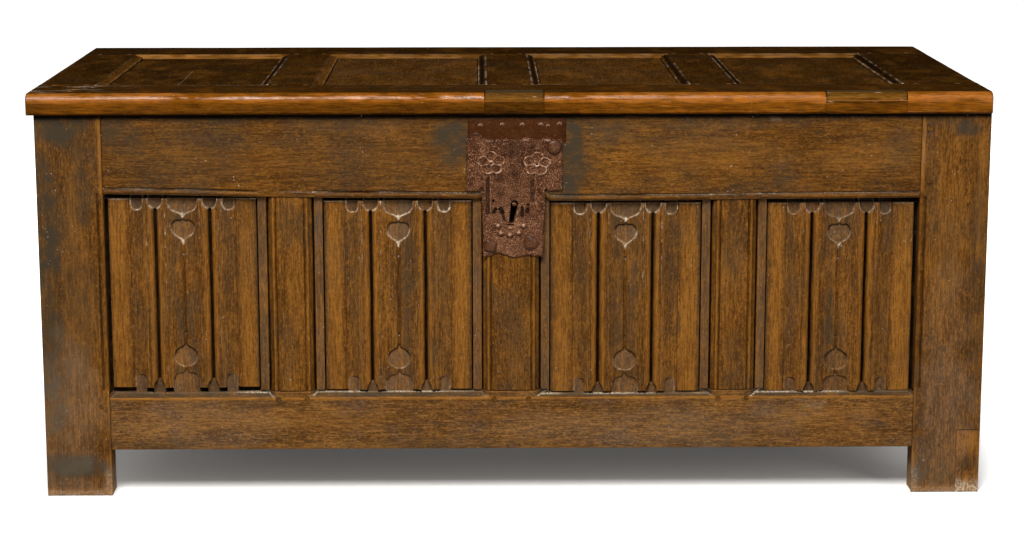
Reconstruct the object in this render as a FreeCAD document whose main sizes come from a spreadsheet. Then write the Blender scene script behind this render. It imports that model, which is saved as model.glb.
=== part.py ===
import FreeCAD, Part
import os
import Sketcher
from collections import namedtuple
from types import SimpleNamespace

# A joined oak coffer with a linenfold front, a framed lid, strap hinges and an iron lock.
#
# Frame: +X along the front (to the right for someone who faces it), +Y towards the back, +Z up.
# Origin: on the floor, under the middle of the whole chest's box. Lengths are in millimetres.
#
# Oak members are cut from a blank and each joint is cut with the very piece that fits it, so
# a mortise always has the shape of its tenon, its pegs and its panel.

# --------------------------------------------------------------------------- driving dimensions

DIMENSIONS = {
    # carcase
    "carcase_length": (1500, "front, outer edge to outer edge of the stiles"),
    "carcase_depth": (690, "front plane to back plane"),
    "carcase_height": (617, "floor to the rim"),
    "left_stile_width": (104, "left front stile"),
    "right_stile_width": (109, "right front stile"),
    "rear_stile_width": (104, "both rear stiles, along the back"),
    "stile_thickness": (48, "all four stiles, front to back"),
    "rail_thickness": (34, "rails and muntins of the four sides"),
    "top_rail_height": (131, "top rails"),
    "bottom_rail_height": (95, "bottom rails"),
    "foot_height": (76, "floor to the bottom rails"),
    "muntin_face": (41, "flat face of the left and right front muntins"),
    "centre_muntin_face": (60, "flat face of the centre front muntin"),
    "left_muntin_at": (-353.5, "left muntin's middle from the carcase's middle"),
    "centre_muntin_at": (-4.5, "centre muntin's middle from the carcase's middle"),
    "right_muntin_at": (349, "right muntin's middle from the carcase's middle"),
    "plain_muntin_width": (100, "muntins of the back and the ends"),
    # joints
    "groove_setback": (16, "outer face to the panel grooves and the tenons"),
    "groove_width": (8, "panel grooves and tenons"),
    "groove_depth": (9, "panel grooves, into the edge"),
    "panel_play": (1, "panel's edge to the bottom of its groove"),
    "tenon_length": (36, "rail tenons"),
    "tenon_shoulder": (14, "edge of a member to the edge of its tenon"),
    "muntin_tenon_length": (30, "muntin tenons"),
    "peg_radius": (4.5, "draw pegs"),
    "peg_margin": (13, "joint line to the middle of a peg"),
    "peg_inset": (24, "tenon's edge to the middle of a peg"),
    # mouldings
    "bead_width": (8, "bead on the inner edges"),
    "bead_rise": (3, "height of the bead's curve"),
    "bead_drop": (0.5, "front plane to the bead's top"),
    "quirk_width": (3, "groove beside the bead"),
    "slope_width": (7, "muntin's slope, from the bead down to the band"),
    "band_width": (12.5, "muntin's rounded band beside the panel"),
    "band_setback": (12, "front plane to the edges of the band"),
    "band_rise": (3, "height of the band's curve"),
    "sill_height": (11, "chamfer on the front bottom rail, up its face"),
    "sill_depth": (12, "chamfer on the front bottom rail, into its top"),
    # linenfold
    "fold_groove": (5.4, "narrow groove down the middle"),
    "fold_hollow": (21.5, "hollows"),
    "fold_roll": (14.5, "rolls beside the middle hollows"),
    "fold_channel": (7, "deep channels between roll and ridge"),
    "fold_ridge": (15, "outer ridges"),
    "fold_top": (8, "front plane to the edges of the rolls and ridges"),
    "fold_rise": (2.5, "height of the rolls' and ridges' curve"),
    "fold_dip": (2.5, "depth of the hollows' curve"),
    "hollow_edge": (12, "front plane to the hollows' edge at the middle groove"),
    "channel_floor": (19.5, "front plane to the channels' floor"),
    "sink_floor": (15, "front plane to the floor of the carved sinks"),
    "outer_sink_width": (20, "sinks over the outer hollows"),
    "outer_sink_height": (22, "sinks over the outer hollows"),
    "outer_sink_rise": (9, "round at the end of the sinks over the outer hollows"),
    "channel_sink_width": (24, "sinks over the channels"),
    "channel_sink_height": (20, "sinks over the channels"),
    "channel_sink_rise": (11, "round at the end of the sinks over the channels"),
    "middle_sink_width": (46, "sinks at the ends of the middle fold"),
    "middle_sink_height": (27, "sinks at the ends of the middle fold"),
    "middle_sink_rise": (15, "round at the end of the middle sinks"),
    "heart_top": (22, "flat top of the heart below the upper middle sink"),
    "heart_height": (34, "heart, top to point"),
    "heart_side": (18, "radius of the heart's sides"),
    "heart_drop": (40, "opening's top to the heart"),
    "ring_radius": (18, "ring above the lower middle sink"),
    "ring_lift": (53, "opening's bottom to the ring's middle"),
    # floor
    "floor_thickness": (16, "floor boards"),
    "floor_lift": (12, "bottom rails' lower edge to the floor boards"),
    "floor_housing": (8, "floor boards, into the rails"),
    "floor_gap": (1, "gap between floor boards"),
    # lid
    "lid_length": (1508, "lid, left to right"),
    "lid_slip": (5.5, "lid's middle, to the left of the carcase's middle"),
    "lid_thickness": (34, "lid frame"),
    "lid_overhang": (12, "lid's front edge past the front plane"),
    "lid_back_overhang": (7, "lid's back edge past the back plane"),
    "lid_front_rail_width": (130, "lid's front rail"),
    "lid_back_rail_width": (134, "lid's back rail"),
    "lid_left_stile_width": (104, "lid's left stile"),
    "lid_right_stile_width": (134, "lid's right stile"),
    "lid_muntin_width": (100, "lid's muntins"),
    "lid_left_muntin_at": (-357, "lid's left muntin from the carcase's middle"),
    "lid_centre_muntin_at": (-6, "lid's centre muntin from the carcase's middle"),
    "lid_right_muntin_at": (321, "lid's right muntin from the carcase's middle"),
    "lid_panel_thickness": (12, "lid panels, their grooves and the lid's tenons"),
    "lid_panel_drop": (7, "lid's top to the sunk panels"),
    "lid_tenon_length": (45, "tenons of the lid's stiles and muntins"),
    "lid_nose_radius": (12, "round on the lid's front edge"),
    "lid_arris": (4, "bevel under the lid's front edge"),
    "lid_bevel_width": (9, "bevel round the lid's panels, across"),
    "lid_bevel_drop": (5, "bevel round the lid's panels, down"),
    # let-in repairs
    "hasp_patch_width": (94, "patch where the hasp was"),
    "hasp_patch_depth": (46, "patch where the hasp was, front to back"),
    "patch_height": (16, "both patches of the lid, down from its top"),
    "edge_patch_at": (551, "middle of the patch in the lid's right front edge"),
    "edge_patch_width": (128, "patch in the lid's right front edge"),
    "edge_patch_depth": (30, "patch in the lid's right front edge"),
    "foot_patch_width": (38, "patch in the right foot, across"),
    "foot_patch_depth": (10, "patch in the right foot, front to back"),
    "foot_patch_height": (104, "patch in the right foot, from the floor"),
    # lock plate
    "lock_at": (0.5, "lock's middle from the carcase's middle"),
    "plate_thickness": (2.5, "lock plate"),
    "strip_thickness": (1.6, "smooth strip above the lock plate"),
    "strip_width": (155, "smooth strip above the lock plate, across"),
    "strip_shift": (4, "strip's middle, to the right of the lock's middle"),
    "strip_height": (34, "smooth strip above the lock plate"),
    "strip_drop": (6, "rim to the strip"),
    "plate_width": (152, "lock plate's wide part"),
    "plate_step": (127, "rim down to the foot of the wide part"),
    "plate_foot": (227, "rim down to the foot of the narrow part"),
    "plate_tongue": (99, "lock plate's narrow part, across"),
    "boss_radius": (5, "bosses on the lock plate"),
    "boss_pitch": (10, "boss to boss, across"),
    "boss_at": (194, "rim down to the middle boss"),
    "boss_sag": (3.7, "rise of the row of bosses towards its ends"),
    "boss_height": (3, "bosses on the lock plate"),
    "flower_radius": (16.5, "flowers on the lock plate"),
    "flower_height": (2.5, "flowers on the lock plate"),
    "flower_eye_radius": (4, "flowers' eyes"),
    "flower_spread": (71.5, "middle to middle of the flowers"),
    "flower_at": (77, "rim down to the flowers' middle"),
    "stem_width": (7, "stems below the flowers"),
    "stem_foot": (159, "rim down to the foot of the stems"),
    "plate_nail_radius": (11, "large nail heads on the plate"),
    "strip_nail_radius": (3.5, "small nail heads on the strip"),
    "iron_nail_radius": (5, "nail heads of the hinges, the staple and the lock case"),
    "nail_head": (2, "height of the nail heads"),
    "nail_taper": (0.6, "outer radius of a nail head as a share of its seat"),
    "nail_radius": (2.2, "nail shanks"),
    "nail_length": (24, "nail shanks, in the wood"),
    # key and lock works
    "keyhole_at": (143, "rim down to the key's axis"),
    "keyhole_radius": (5.4, "round part of the keyhole"),
    "keyhole_slot": (6.5, "keyhole's slot, across"),
    "keyhole_foot": (173, "rim down to the foot of the slot"),
    "key_window_width": (26, "opening behind the plate for the key's bit"),
    "key_window_foot": (181, "rim down to the foot of the opening for the key's bit"),
    "key_window_head": (133, "rim down to the head of the opening for the key's bit"),
    "drill_pin_radius": (3, "pin that the key's hollow shank turns on"),
    "drill_pin_stand": (1, "pin, past the front plane"),
    "case_width": (108, "lock case"),
    "case_foot": (187, "rim down to the foot of the lock case"),
    "case_drop": (5, "rim to the lock case"),
    "case_depth": (22, "lock case, inwards from the rail"),
    "case_wall": (2, "lock case's iron"),
    "case_ear": (18, "lock case's ears"),
    "staple_at": (14, "staple from the lock's middle"),
    "staple_thickness": (5, "staple, across"),
    "staple_depth": (14, "staple, front to back"),
    "staple_drop": (45, "rim to the staple's foot"),
    "staple_eye": (7, "staple's eye, front to back"),
    "staple_eye_height": (17, "staple's eye"),
    "staple_sill": (6, "iron below the staple's eye"),
    "staple_plate_thickness": (3, "staple's plate, let into the lid"),
    "staple_plate_length": (70, "staple's plate, across"),
    "staple_plate_width": (26, "staple's plate, front to back"),
    "staple_play": (2, "staple to the edges of its slot, across"),
    "staple_gap": (4, "rail's inner face to the staple"),
    "bolt_thickness": (4, "lock bolt's upright and nose, front to back"),
    "bolt_bar_length": (86, "lock bolt's bar"),
    "bolt_bar_height": (16, "lock bolt's bar"),
    "bolt_bar_depth": (9.7, "lock bolt's bar, front to back"),
    "bolt_end_gap": (2, "bar's ends to the case at both ends of its travel"),
    "bolt_bar_at": (111, "rim down to the middle of the bolt's bar"),
    "bolt_stem_width": (12, "lock bolt's upright"),
    "bolt_nose_height": (10, "lock bolt's nose"),
    "bolt_nose_lift": (3.5, "foot of the staple's eye to the nose"),
    "bolt_nose_gap": (3, "nose to the staple when unlocked"),
    "bolt_notch_width": (14, "notch for the key's bit"),
    "bolt_notch_height": (6, "notch for the key's bit"),
    "bolt_play": (0.3, "clearance round the sliding bolt"),
    "guide_width": (8, "bolt guides, along the bar"),
    "guide_wall": (3, "bolt guides, round the bar"),
    "guide_spread": (56, "middle to middle of the bolt guides"),
    "spring_thickness": (1.2, "bolt spring"),
    "spring_length": (34, "bolt spring, across"),
    "spring_rise": (26, "bolt spring, tip to root"),
    "spring_width": (4, "bolt spring, front to back"),
    "spring_bend": (60, "bolt spring's bend radius"),
    # hinges
    "barrel_radius": (6, "hinge barrels"),
    "barrel_length": (60, "hinge barrels, all knuckles together"),
    "knuckle_length": (20, "strap's knuckle"),
    "knuckle_gap": (0.4, "end gap between knuckles"),
    "barrel_gap": (0.3, "barrel to the back plane"),
    "pin_radius": (3, "hinge pins"),
    "pin_play": (0.05, "pin to the strap's bore"),
    "leaf_thickness": (3, "straps and tails"),
    "strap_width": (40, "straps"),
    "strap_length": (390, "straps, from the back plane inwards"),
    "tail_height": (96, "tails, down from the pin"),
    "barrel_room": (1.5, "gap between the lid's wood and the barrels"),
}

document = FreeCAD.newDocument("linenfold_coffer")
sheet = document.addObject("Spreadsheet::Sheet", "sizes")
for row, (alias, (millimetres, meaning)) in enumerate(DIMENSIONS.items(), start=1):
    sheet.set(f"A{row}", meaning)
    sheet.set(f"B{row}", str(millimetres))
    sheet.setAlias(f"B{row}", alias)
document.recompute()


class Size:
    """A length in millimetres, together with the sheet formula that gives it."""

    def __init__(self, value, formula):
        self.value = value
        self.formula = formula

    def __add__(self, other):
        other = as_size(other)
        return Size(self.value + other.value, f"({self.formula} + {other.formula})")

    def __sub__(self, other):
        other = as_size(other)
        return Size(self.value - other.value, f"({self.formula} - {other.formula})")

    def __mul__(self, other):
        other = as_size(other)
        return Size(self.value * other.value, f"({self.formula} * {other.formula})")

    def __truediv__(self, other):
        other = as_size(other)
        return Size(self.value / other.value, f"({self.formula} / {other.formula})")

    def __radd__(self, other):
        return as_size(other) + self

    def __rsub__(self, other):
        return as_size(other) - self

    def __rmul__(self, other):
        return as_size(other) * self

    def __neg__(self):
        return Size(-self.value, f"(0 - {self.formula})")


def as_size(number):
    """A plain number as a Size, so that both can be mixed."""
    if isinstance(number, Size):
        return number
    return Size(float(number), f"({number})")


def largest(one, other):
    """The greater of two sizes."""
    one = as_size(one)
    other = as_size(other)
    return Size(max(one.value, other.value), f"max({one.formula}; {other.formula})")


def below_rim(distance):
    """Height above the floor of what is measured down from the rim."""
    return s.carcase_height - distance


s = SimpleNamespace(**{alias: Size(float(sheet.get(alias)), f"sizes.{alias}") for alias in DIMENSIONS})

# Places that several pieces share, from the middle of the carcase's front plane on the floor.
opening_foot = s.foot_height + s.bottom_rail_height
opening_head = s.carcase_height - s.top_rail_height
tenon_front = s.groove_setback
tenon_back = s.groove_setback + s.groove_width
left_shoulder = s.left_stile_width - s.carcase_length / 2
right_shoulder = s.carcase_length / 2 - s.right_stile_width
lid_left = -s.lid_length / 2 - s.lid_slip
lid_right = s.lid_length / 2 - s.lid_slip
lid_back = s.carcase_depth + s.lid_back_overhang
lid_top = s.carcase_height + s.lid_thickness
hinge_y = s.carcase_depth + s.barrel_gap + s.barrel_radius
hinge_z = s.carcase_height + s.leaf_thickness - s.barrel_radius

lid_front = -s.lid_overhang
lid_inner_front = s.lid_front_rail_width - s.lid_overhang
lid_inner_back = lid_back - s.lid_back_rail_width
lid_groove_head = lid_top - s.lid_panel_drop
lid_groove_foot = lid_groove_head - s.lid_panel_thickness
staple_y = s.rail_thickness + s.staple_gap + s.staple_depth / 2
bolt_throw = s.case_width - s.case_wall * 2 - s.bolt_bar_length - s.bolt_end_gap * 2

# The carcase's middle in the finished frame, whose origin is under the middle of the whole box.
rightmost = largest(lid_right, s.carcase_length / 2)
leftmost = -largest(-lid_left, s.carcase_length / 2)
hindmost = largest(hinge_y + s.barrel_radius, lid_back)
middle = ((-rightmost - leftmost) / 2, (s.lid_overhang - hindmost) / 2, as_size(0))

UPRIGHT = FreeCAD.Rotation()
# Sketch axes in the model: a section looks along +X, an elevation is seen from the front.
ALONG = FreeCAD.Vector(1, 0, 0)
INWARD = FreeCAD.Vector(0, 1, 0)
UP = FreeCAD.Vector(0, 0, 1)
SECTION = FreeCAD.Rotation(INWARD, UP, ALONG, "ZXY")
ELEVATION = FreeCAD.Rotation(ALONG, UP, -INWARD, "ZXY")
ROD_INWARD = FreeCAD.Rotation(ALONG, -90)
ROD_OUTWARD = FreeCAD.Rotation(ALONG, 90)
ROD_DOWN = FreeCAD.Rotation(ALONG, 180)
ROD_ALONG = FreeCAD.Rotation(INWARD, 90)
# How a nail faces: its head's way, its shank's way, and the head's step in y and z per unit of iron.
HEAD_OUT = (ROD_OUTWARD, ROD_INWARD, (-1, 0))
HEAD_IN = (ROD_INWARD, ROD_OUTWARD, (1, 0))
HEAD_DOWN = (ROD_DOWN, UPRIGHT, (0, -1))
QUARTER_TURNS = {0: (1, 0), 90: (0, 1), 180: (-1, 0), -90: (0, -1)}

finished = []


# --------------------------------------------------------------------------- placing and binding

def bind(thing, **properties):
    """Tie properties of a document object to sizes of the sheet."""
    for name, size in properties.items():
        thing.setExpression(name, as_size(size).formula)


class Wall:
    """One side of the chest: x along it as seen from outside, y inwards, z up."""

    def __init__(self, turn, x, y):
        self.turn = turn
        self.base = (middle[0] + x, middle[1] + y, middle[2])

    def put(self, thing, point, attitude=UPRIGHT):
        """Set a thing down at a point of this wall."""
        cosine, sine = QUARTER_TURNS[self.turn]
        turn = FreeCAD.Rotation(UP, self.turn)
        thing.Placement = FreeCAD.Placement(FreeCAD.Vector(), turn.multiply(attitude))
        x, y, z = (as_size(value) for value in point)
        place = (
            self.base[0] + x * cosine - y * sine,
            self.base[1] + x * sine + y * cosine,
            self.base[2] + z,
        )
        for axis, value in zip("xyz", place):
            thing.setExpression(f"Placement.Base.{axis}", value.formula)
        return thing


front = Wall(0, as_size(0), as_size(0))
back = Wall(180, as_size(0), s.carcase_depth)
left_end = Wall(-90, -s.carcase_length / 2, s.carcase_depth / 2)
right_end = Wall(90, s.carcase_length / 2, s.carcase_depth / 2)


def keep(thing, name):
    """Call a thing finished: it becomes a piece of the chest under this name."""
    thing.Label = name
    finished.append(thing)
    return thing


# --------------------------------------------------------------------------- solids

def block(name, low, high, wall=front):
    """A plain block between two opposite corners."""
    made = document.addObject("Part::Box", name)
    bind(made, Length=high[0] - low[0], Width=high[1] - low[1], Height=high[2] - low[2])
    return wall.put(made, low)


def rod(name, start, radius, length, attitude=UPRIGHT, wall=front):
    """A round rod from a point, upright or along a wall's x or y."""
    made = document.addObject("Part::Cylinder", name)
    bind(made, Radius=radius, Height=length)
    return wall.put(made, start, attitude)


def group(name, things):
    """Separate solids as one object."""
    made = document.addObject("Part::Compound", name)
    made.Links = things
    return made


def joined(name, things):
    """Several solids as one solid."""
    made = document.addObject("Part::MultiFuse", name)
    made.Shapes = things
    made.Refine = True
    return made


def cut(name, blank, tools):
    """A blank with the tools taken out of it."""
    made = document.addObject("Part::Cut", name)
    made.Base = blank
    made.Tool = tools[0] if len(tools) == 1 else group(f"{name}_tools", tools)
    made.Refine = True
    return made


def shared(name, blank, region):
    """What a blank and a region have in common."""
    made = document.addObject("Part::Common", name)
    made.Base = blank
    made.Tool = region
    return made


# --------------------------------------------------------------------------- outlines

def curve_radius(width, rise):
    """Radius of a curve that spans a width and rises this much."""
    return (width * width / 4 + rise * rise) / (2 * rise)


def edge_geometry(start, end, radius):
    """A line, or an arc: anticlockwise for a positive radius, clockwise for a negative one."""
    first = FreeCAD.Vector(start[0].value, start[1].value, 0)
    last = FreeCAD.Vector(end[0].value, end[1].value, 0)
    if radius is None:
        return Part.LineSegment(first, last)
    chord = last - first
    across = FreeCAD.Vector(-chord.y, chord.x, 0).normalize()
    reach = max(radius.value ** 2 - (chord.Length / 2) ** 2, 0) ** 0.5
    if radius.value < 0:
        first, last, across = last, first, -across
    centre = (first + last) / 2 + across * reach
    circle = Part.Circle(centre, UP, abs(radius.value))
    return Part.ArcOfCircle(circle, circle.parameter(first), circle.parameter(last))


Round = namedtuple("Round", "across up radius")


def tie(sketch, size, kind, *places):
    """Give a sketch a dimension that follows the sheet."""
    number = sketch.addConstraint(Sketcher.Constraint(kind, *places, size.value))
    sketch.setExpression(f"Constraints[{number}]", size.formula)


def draw_round(sketch, outline):
    """Draw a full circle."""
    across, up, radius = (as_size(value) for value in outline)
    circle = Part.Circle(FreeCAD.Vector(across.value, up.value, 0), UP, radius.value)
    edge = sketch.addGeometry(circle)
    tie(sketch, across, "DistanceX", -1, 1, edge, 3)
    tie(sketch, up, "DistanceY", -1, 1, edge, 3)
    tie(sketch, radius, "Radius", edge)


def draw(sketch, outline):
    """Draw a closed outline of corners (across, up) or (across, up, radius of the edge to it)."""
    corners = [tuple(as_size(value) for value in corner) for corner in outline]
    count = len(corners)
    ends = []
    for number, corner in enumerate(corners):
        following = corners[(number + 1) % count]
        radius = following[2] if len(following) == 3 else None
        edge = sketch.addGeometry(edge_geometry(corner, following, radius))
        clockwise = radius is not None and radius.value < 0
        ends.append((edge, 2, 1) if clockwise else (edge, 1, 2))
        if radius is not None:
            tie(sketch, -radius if clockwise else radius, "Radius", edge)
    for number, (edge, start, end) in enumerate(ends):
        following = ends[(number + 1) % count]
        sketch.addConstraint(Sketcher.Constraint("Coincident", edge, end, following[0], following[1]))
        tie(sketch, corners[number][0], "DistanceX", -1, 1, edge, start)
        tie(sketch, corners[number][1], "DistanceY", -1, 1, edge, start)


def draw_all(sketch, outlines):
    """Draw several outlines into one sketch."""
    for outline in outlines:
        if isinstance(outline, Round):
            draw_round(sketch, outline)
        else:
            draw(sketch, outline)


def prism(name, outlines, start, length, attitude=UPRIGHT, wall=front):
    """An outline drawn out straight: up from a plan, along x from a section, y from an elevation."""
    sketch = document.addObject("Sketcher::SketchObject", f"{name}_outline")
    draw_all(sketch, outlines)
    wall.put(sketch, start, attitude)
    made = document.addObject("Part::Extrusion", name)
    made.Base = sketch
    made.DirMode = "Normal"
    made.Reversed = attitude is ELEVATION
    made.Solid = True
    bind(made, LengthFwd=length)
    return made


class Body:
    """A PartDesign body whose origin is set down at a point of a wall."""

    PLANES = {"plan": "XY_Plane", "section": "YZ_Plane", "elevation": "XZ_Plane"}

    def __init__(self, name, point=(0, 0, 0), wall=front):
        self.name = name
        self.body = document.addObject("PartDesign::Body", name)
        self.features = 0
        wall.put(self.body, point)

    def sketch(self, plane, outlines, offset=0):
        """A sketch on one of the body's own planes, set off along the plane's normal."""
        self.features += 1
        made = self.body.newObject("Sketcher::SketchObject", f"{self.name}_sketch_{self.features}")
        for datum in self.body.Origin.OriginFeatures:
            if datum.Role == self.PLANES[plane]:
                made.AttachmentSupport = (datum, [""])
        made.MapMode = "FlatFace"
        made.setExpression("AttachmentOffset.Base.z", as_size(offset).formula)
        draw_all(made, outlines)
        return made

    def pad(self, plane, outlines, length, offset=0, away=False):
        """Wood or iron added along the plane's normal, or against it."""
        made = self.body.newObject("PartDesign::Pad", f"{self.name}_pad_{self.features}")
        made.Profile = self.sketch(plane, outlines, offset)
        made.Reversed = away
        bind(made, Length=length)
        self.body.Tip = made
        return self

    def pocket(self, plane, outlines, depth, offset=0, away=False):
        """Wood or iron taken out against the plane's normal, or along it."""
        made = self.body.newObject("PartDesign::Pocket", f"{self.name}_pocket_{self.features}")
        made.Profile = self.sketch(plane, outlines, offset)
        made.Reversed = away
        bind(made, Length=depth)
        self.body.Tip = made
        return self

    def hollow_block(self, low, high):
        """A plain block taken out between two opposite corners."""
        self.features += 1
        made = self.body.newObject("PartDesign::SubtractiveBox", f"{self.name}_hollow_{self.features}")
        bind(made, Length=high[0] - low[0], Width=high[1] - low[1], Height=high[2] - low[2])
        for axis, value in zip("xyz", low):
            made.setExpression(f"Placement.Base.{axis}", as_size(value).formula)
        return self


def rectangle(low, high):
    """A rectangle between two opposite corners."""
    return [low, (high[0], low[1]), high, (low[0], high[1])]


# --------------------------------------------------------------------------- the four sides

def rail_blank(name, wall, ends, foot, height):
    """A rail with a tenon at each end, set in from its top and bottom edges."""
    left, right = ends
    board = block(f"{name}_board", (left, 0, foot), (right, s.rail_thickness, foot + height), wall)
    tongue = block(
        f"{name}_tenons",
        (left - s.tenon_length, tenon_front, foot + s.tenon_shoulder),
        (right + s.tenon_length, tenon_back, foot + height - s.tenon_shoulder),
        wall,
    )
    return joined(f"{name}_blank", [board, tongue])


def muntin_tenons(name, wall, at, width):
    """The tongue that runs through a muntin and stands out as a tenon at both ends."""
    reach = width / 2 - s.tenon_shoulder
    return block(
        f"{name}_tenons",
        (at - reach, tenon_front, opening_foot - s.muntin_tenon_length),
        (at + reach, tenon_back, opening_head + s.muntin_tenon_length),
        wall,
    )


def plain_muntin_blank(name, wall, at):
    """A square-edged muntin."""
    half = s.plain_muntin_width / 2
    low = (at - half, 0, opening_foot)
    high = (at + half, s.rail_thickness, opening_head)
    board = block(f"{name}_board", low, high, wall)
    return joined(f"{name}_blank", [board, muntin_tenons(name, wall, at, s.plain_muntin_width)])


def panel_room(name, wall, bay):
    """The groove that runs round one panel, as the block that it leaves room for."""
    return block(
        f"{name}_room",
        (bay[0] - s.groove_depth, tenon_front, opening_foot - s.groove_depth),
        (bay[1] + s.groove_depth, tenon_back, opening_head + s.groove_depth),
        wall,
    )


def plain_panel(name, wall, bay):
    """A flat panel that fills its groove, but for the play at its edges."""
    reach = s.groove_depth - s.panel_play
    return block(
        name,
        (bay[0] - reach, tenon_front, opening_foot - reach),
        (bay[1] + reach, tenon_back, opening_head + reach),
        wall,
    )


def peg(name, wall, x, z):
    """A draw peg from the outer face through the joint."""
    return rod(name, (x, as_size(0), z), s.peg_radius, s.rail_thickness, ROD_INWARD, wall)


def rail_pegs(name, wall, ends):
    """Two pegs through each tenon of a wall's top and bottom rails."""
    made = []
    for rail, foot, height in (("top", opening_head, s.top_rail_height),
                               ("bottom", s.foot_height, s.bottom_rail_height)):
        for side, x in (("left", ends[0] - s.peg_margin), ("right", ends[1] + s.peg_margin)):
            heights = (foot + s.peg_inset, foot + height - s.peg_inset)
            for number, z in enumerate(heights, start=1):
                made.append(peg(f"{name}_{rail}_{side}_peg_{number}", wall, x, z))
    return made


def muntin_pegs(name, wall, at, width):
    """Two pegs through each tenon of a muntin."""
    made = []
    half = (width / 2 - s.tenon_shoulder) / 2 + s.peg_radius
    for end, z in (("top", opening_head + s.peg_margin), ("bottom", opening_foot - s.peg_margin)):
        for side, x in (("left", at - half), ("right", at + half)):
            made.append(peg(f"{name}_{end}_peg_{side}", wall, x, z))
    return made


def bays(ends, muntins):
    """The openings between the shoulders and the muntins, each as its two edges."""
    edges = [ends[0]]
    for at, width in muntins:
        edges += [at - width / 2, at + width / 2]
    edges.append(ends[1])
    return list(zip(edges[::2], edges[1::2]))


# --------------------------------------------------------------------------- plain sides

def plain_side(name, wall, ends, muntin_places):
    """A back or an end: plain panels between muntins, in two rails that tenon into the stiles."""
    muntins = [(at, s.plain_muntin_width) for at in muntin_places]
    openings = bays(ends, muntins)
    rooms = [panel_room(f"{name}_bay_{n}", wall, bay) for n, bay in enumerate(openings, start=1)]
    panels = [plain_panel(f"{name}_board_{n}", wall, bay) for n, bay in enumerate(openings, start=1)]
    pegs = rail_pegs(name, wall, ends)
    uprights = []
    for number, (at, width) in enumerate(muntins, start=1):
        through = muntin_pegs(f"{name}_muntin_{number}", wall, at, width)
        blank = plain_muntin_blank(f"{name}_muntin_{number}", wall, at)
        uprights.append(cut(f"{name}_muntin_{number}_cut", blank, rooms + through))
        pegs += through
    keep(group(f"{name}_panels", panels), f"{name}_panels")
    if len(uprights) == 1:
        keep(uprights[0], f"{name}_muntin")
    else:
        keep(group(f"{name}_muntins", uprights), f"{name}_muntins")
    rails = {}
    for kind, foot, height in (("top", opening_head, s.top_rail_height),
                               ("bottom", s.foot_height, s.bottom_rail_height)):
        blank = rail_blank(f"{name}_{kind}_rail", wall, ends, foot, height)
        rails[kind] = (blank, uprights + rooms + pegs)
    return SimpleNamespace(rails=rails, rooms=rooms, pegs=pegs)


def finish_rails(name, side, extra_top=(), extra_bottom=()):
    """Cut a side's two rails for what meets them."""
    blank, tools = side.rails["top"]
    side.top = keep(cut(f"{name}_top_rail_cut", blank, tools + list(extra_top)), f"{name}_top_rail")
    blank, tools = side.rails["bottom"]
    tools = tools + [floor_room] + list(extra_bottom)
    side.bottom = keep(cut(f"{name}_bottom_rail_cut", blank, tools), f"{name}_bottom_rail")


# --------------------------------------------------------------------------- the linenfold front

def edge_bead(edge, into):
    """What is planed off beside an inner edge to leave a bead and its quirk."""
    radius = curve_radius(s.bead_width, s.bead_rise)
    spring = s.bead_drop + s.bead_rise
    return [
        (edge, as_size(0)),
        (edge, spring),
        (edge + s.bead_width * into, spring, radius * into),
        (edge + (s.bead_width + s.quirk_width) * into, as_size(0)),
    ]


def moulded_muntin_section(width, face):
    """Front muntin in plan: face, quirks, beads, slopes and rounded bands."""
    bead = -curve_radius(s.bead_width, s.bead_rise)
    band = -curve_radius(s.band_width, s.band_rise)
    spring = s.bead_drop + s.bead_rise
    half = face / 2
    return [
        (-width / 2, s.rail_thickness),
        (width / 2, s.rail_thickness),
        (width / 2, s.band_setback),
        (width / 2 - s.band_width, s.band_setback, band),
        (half + s.quirk_width + s.bead_width, spring),
        (half + s.quirk_width, spring, bead),
        (half, as_size(0)),
        (-half, as_size(0)),
        (-half - s.quirk_width, spring),
        (-half - s.quirk_width - s.bead_width, spring, bead),
        (-width / 2 + s.band_width, s.band_setback),
        (-width / 2, s.band_setback, band),
    ]


def moulded_muntin(name, at, width, face):
    """A front muntin with its mouldings and tenons."""
    shaft = Body(f"{name}_shaft", (at, 0, opening_foot))
    shaft.pad("plan", [moulded_muntin_section(width, face)], opening_head - opening_foot)
    return joined(f"{name}_blank", [shaft.body, muntin_tenons(name, front, at, width)])


def mirrored(right):
    """A whole outline from its right half, which is drawn from the middle outwards."""
    left = []
    radius = None
    for corner in reversed(right):
        point = (-corner[0], corner[1])
        left.append(point if radius is None else point + (radius,))
        radius = corner[2] if len(corner) == 3 else None
    return left + right


def linenfold_section(half):
    """A linenfold panel in plan, from the middle: groove, hollow, roll, channel, ridge, hollow, field."""
    hollow = -curve_radius(s.fold_hollow, s.fold_dip)
    roll = curve_radius(s.fold_roll, s.fold_rise)
    ridge = curve_radius(s.fold_ridge, s.fold_rise)
    groove_edge = s.fold_groove / 2
    roll_inner = groove_edge + s.fold_hollow
    roll_outer = roll_inner + s.fold_roll
    ridge_inner = roll_outer + s.fold_channel
    ridge_outer = ridge_inner + s.fold_ridge
    return mirrored([
        (groove_edge, s.groove_setback),
        (groove_edge, s.hollow_edge),
        (roll_inner, s.fold_top, hollow),
        (roll_outer, s.fold_top, roll),
        (roll_outer, s.channel_floor),
        (ridge_inner, s.channel_floor),
        (ridge_inner, s.fold_top),
        (ridge_outer, s.fold_top, ridge),
        (ridge_outer + s.fold_hollow, s.groove_setback, hollow),
        (half, s.groove_setback),
        (half, tenon_back),
    ])


def arched_sink(at, edge, up, width, height, rise):
    """A sink that starts at the opening's edge and ends in a round, up or down."""
    spring = edge + (height - rise) * up
    base = edge - s.groove_depth * up
    return [
        (at - width / 2, base),
        (at + width / 2, base),
        (at + width / 2, spring),
        (at - width / 2, spring, curve_radius(width, rise) * up),
    ]


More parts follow.
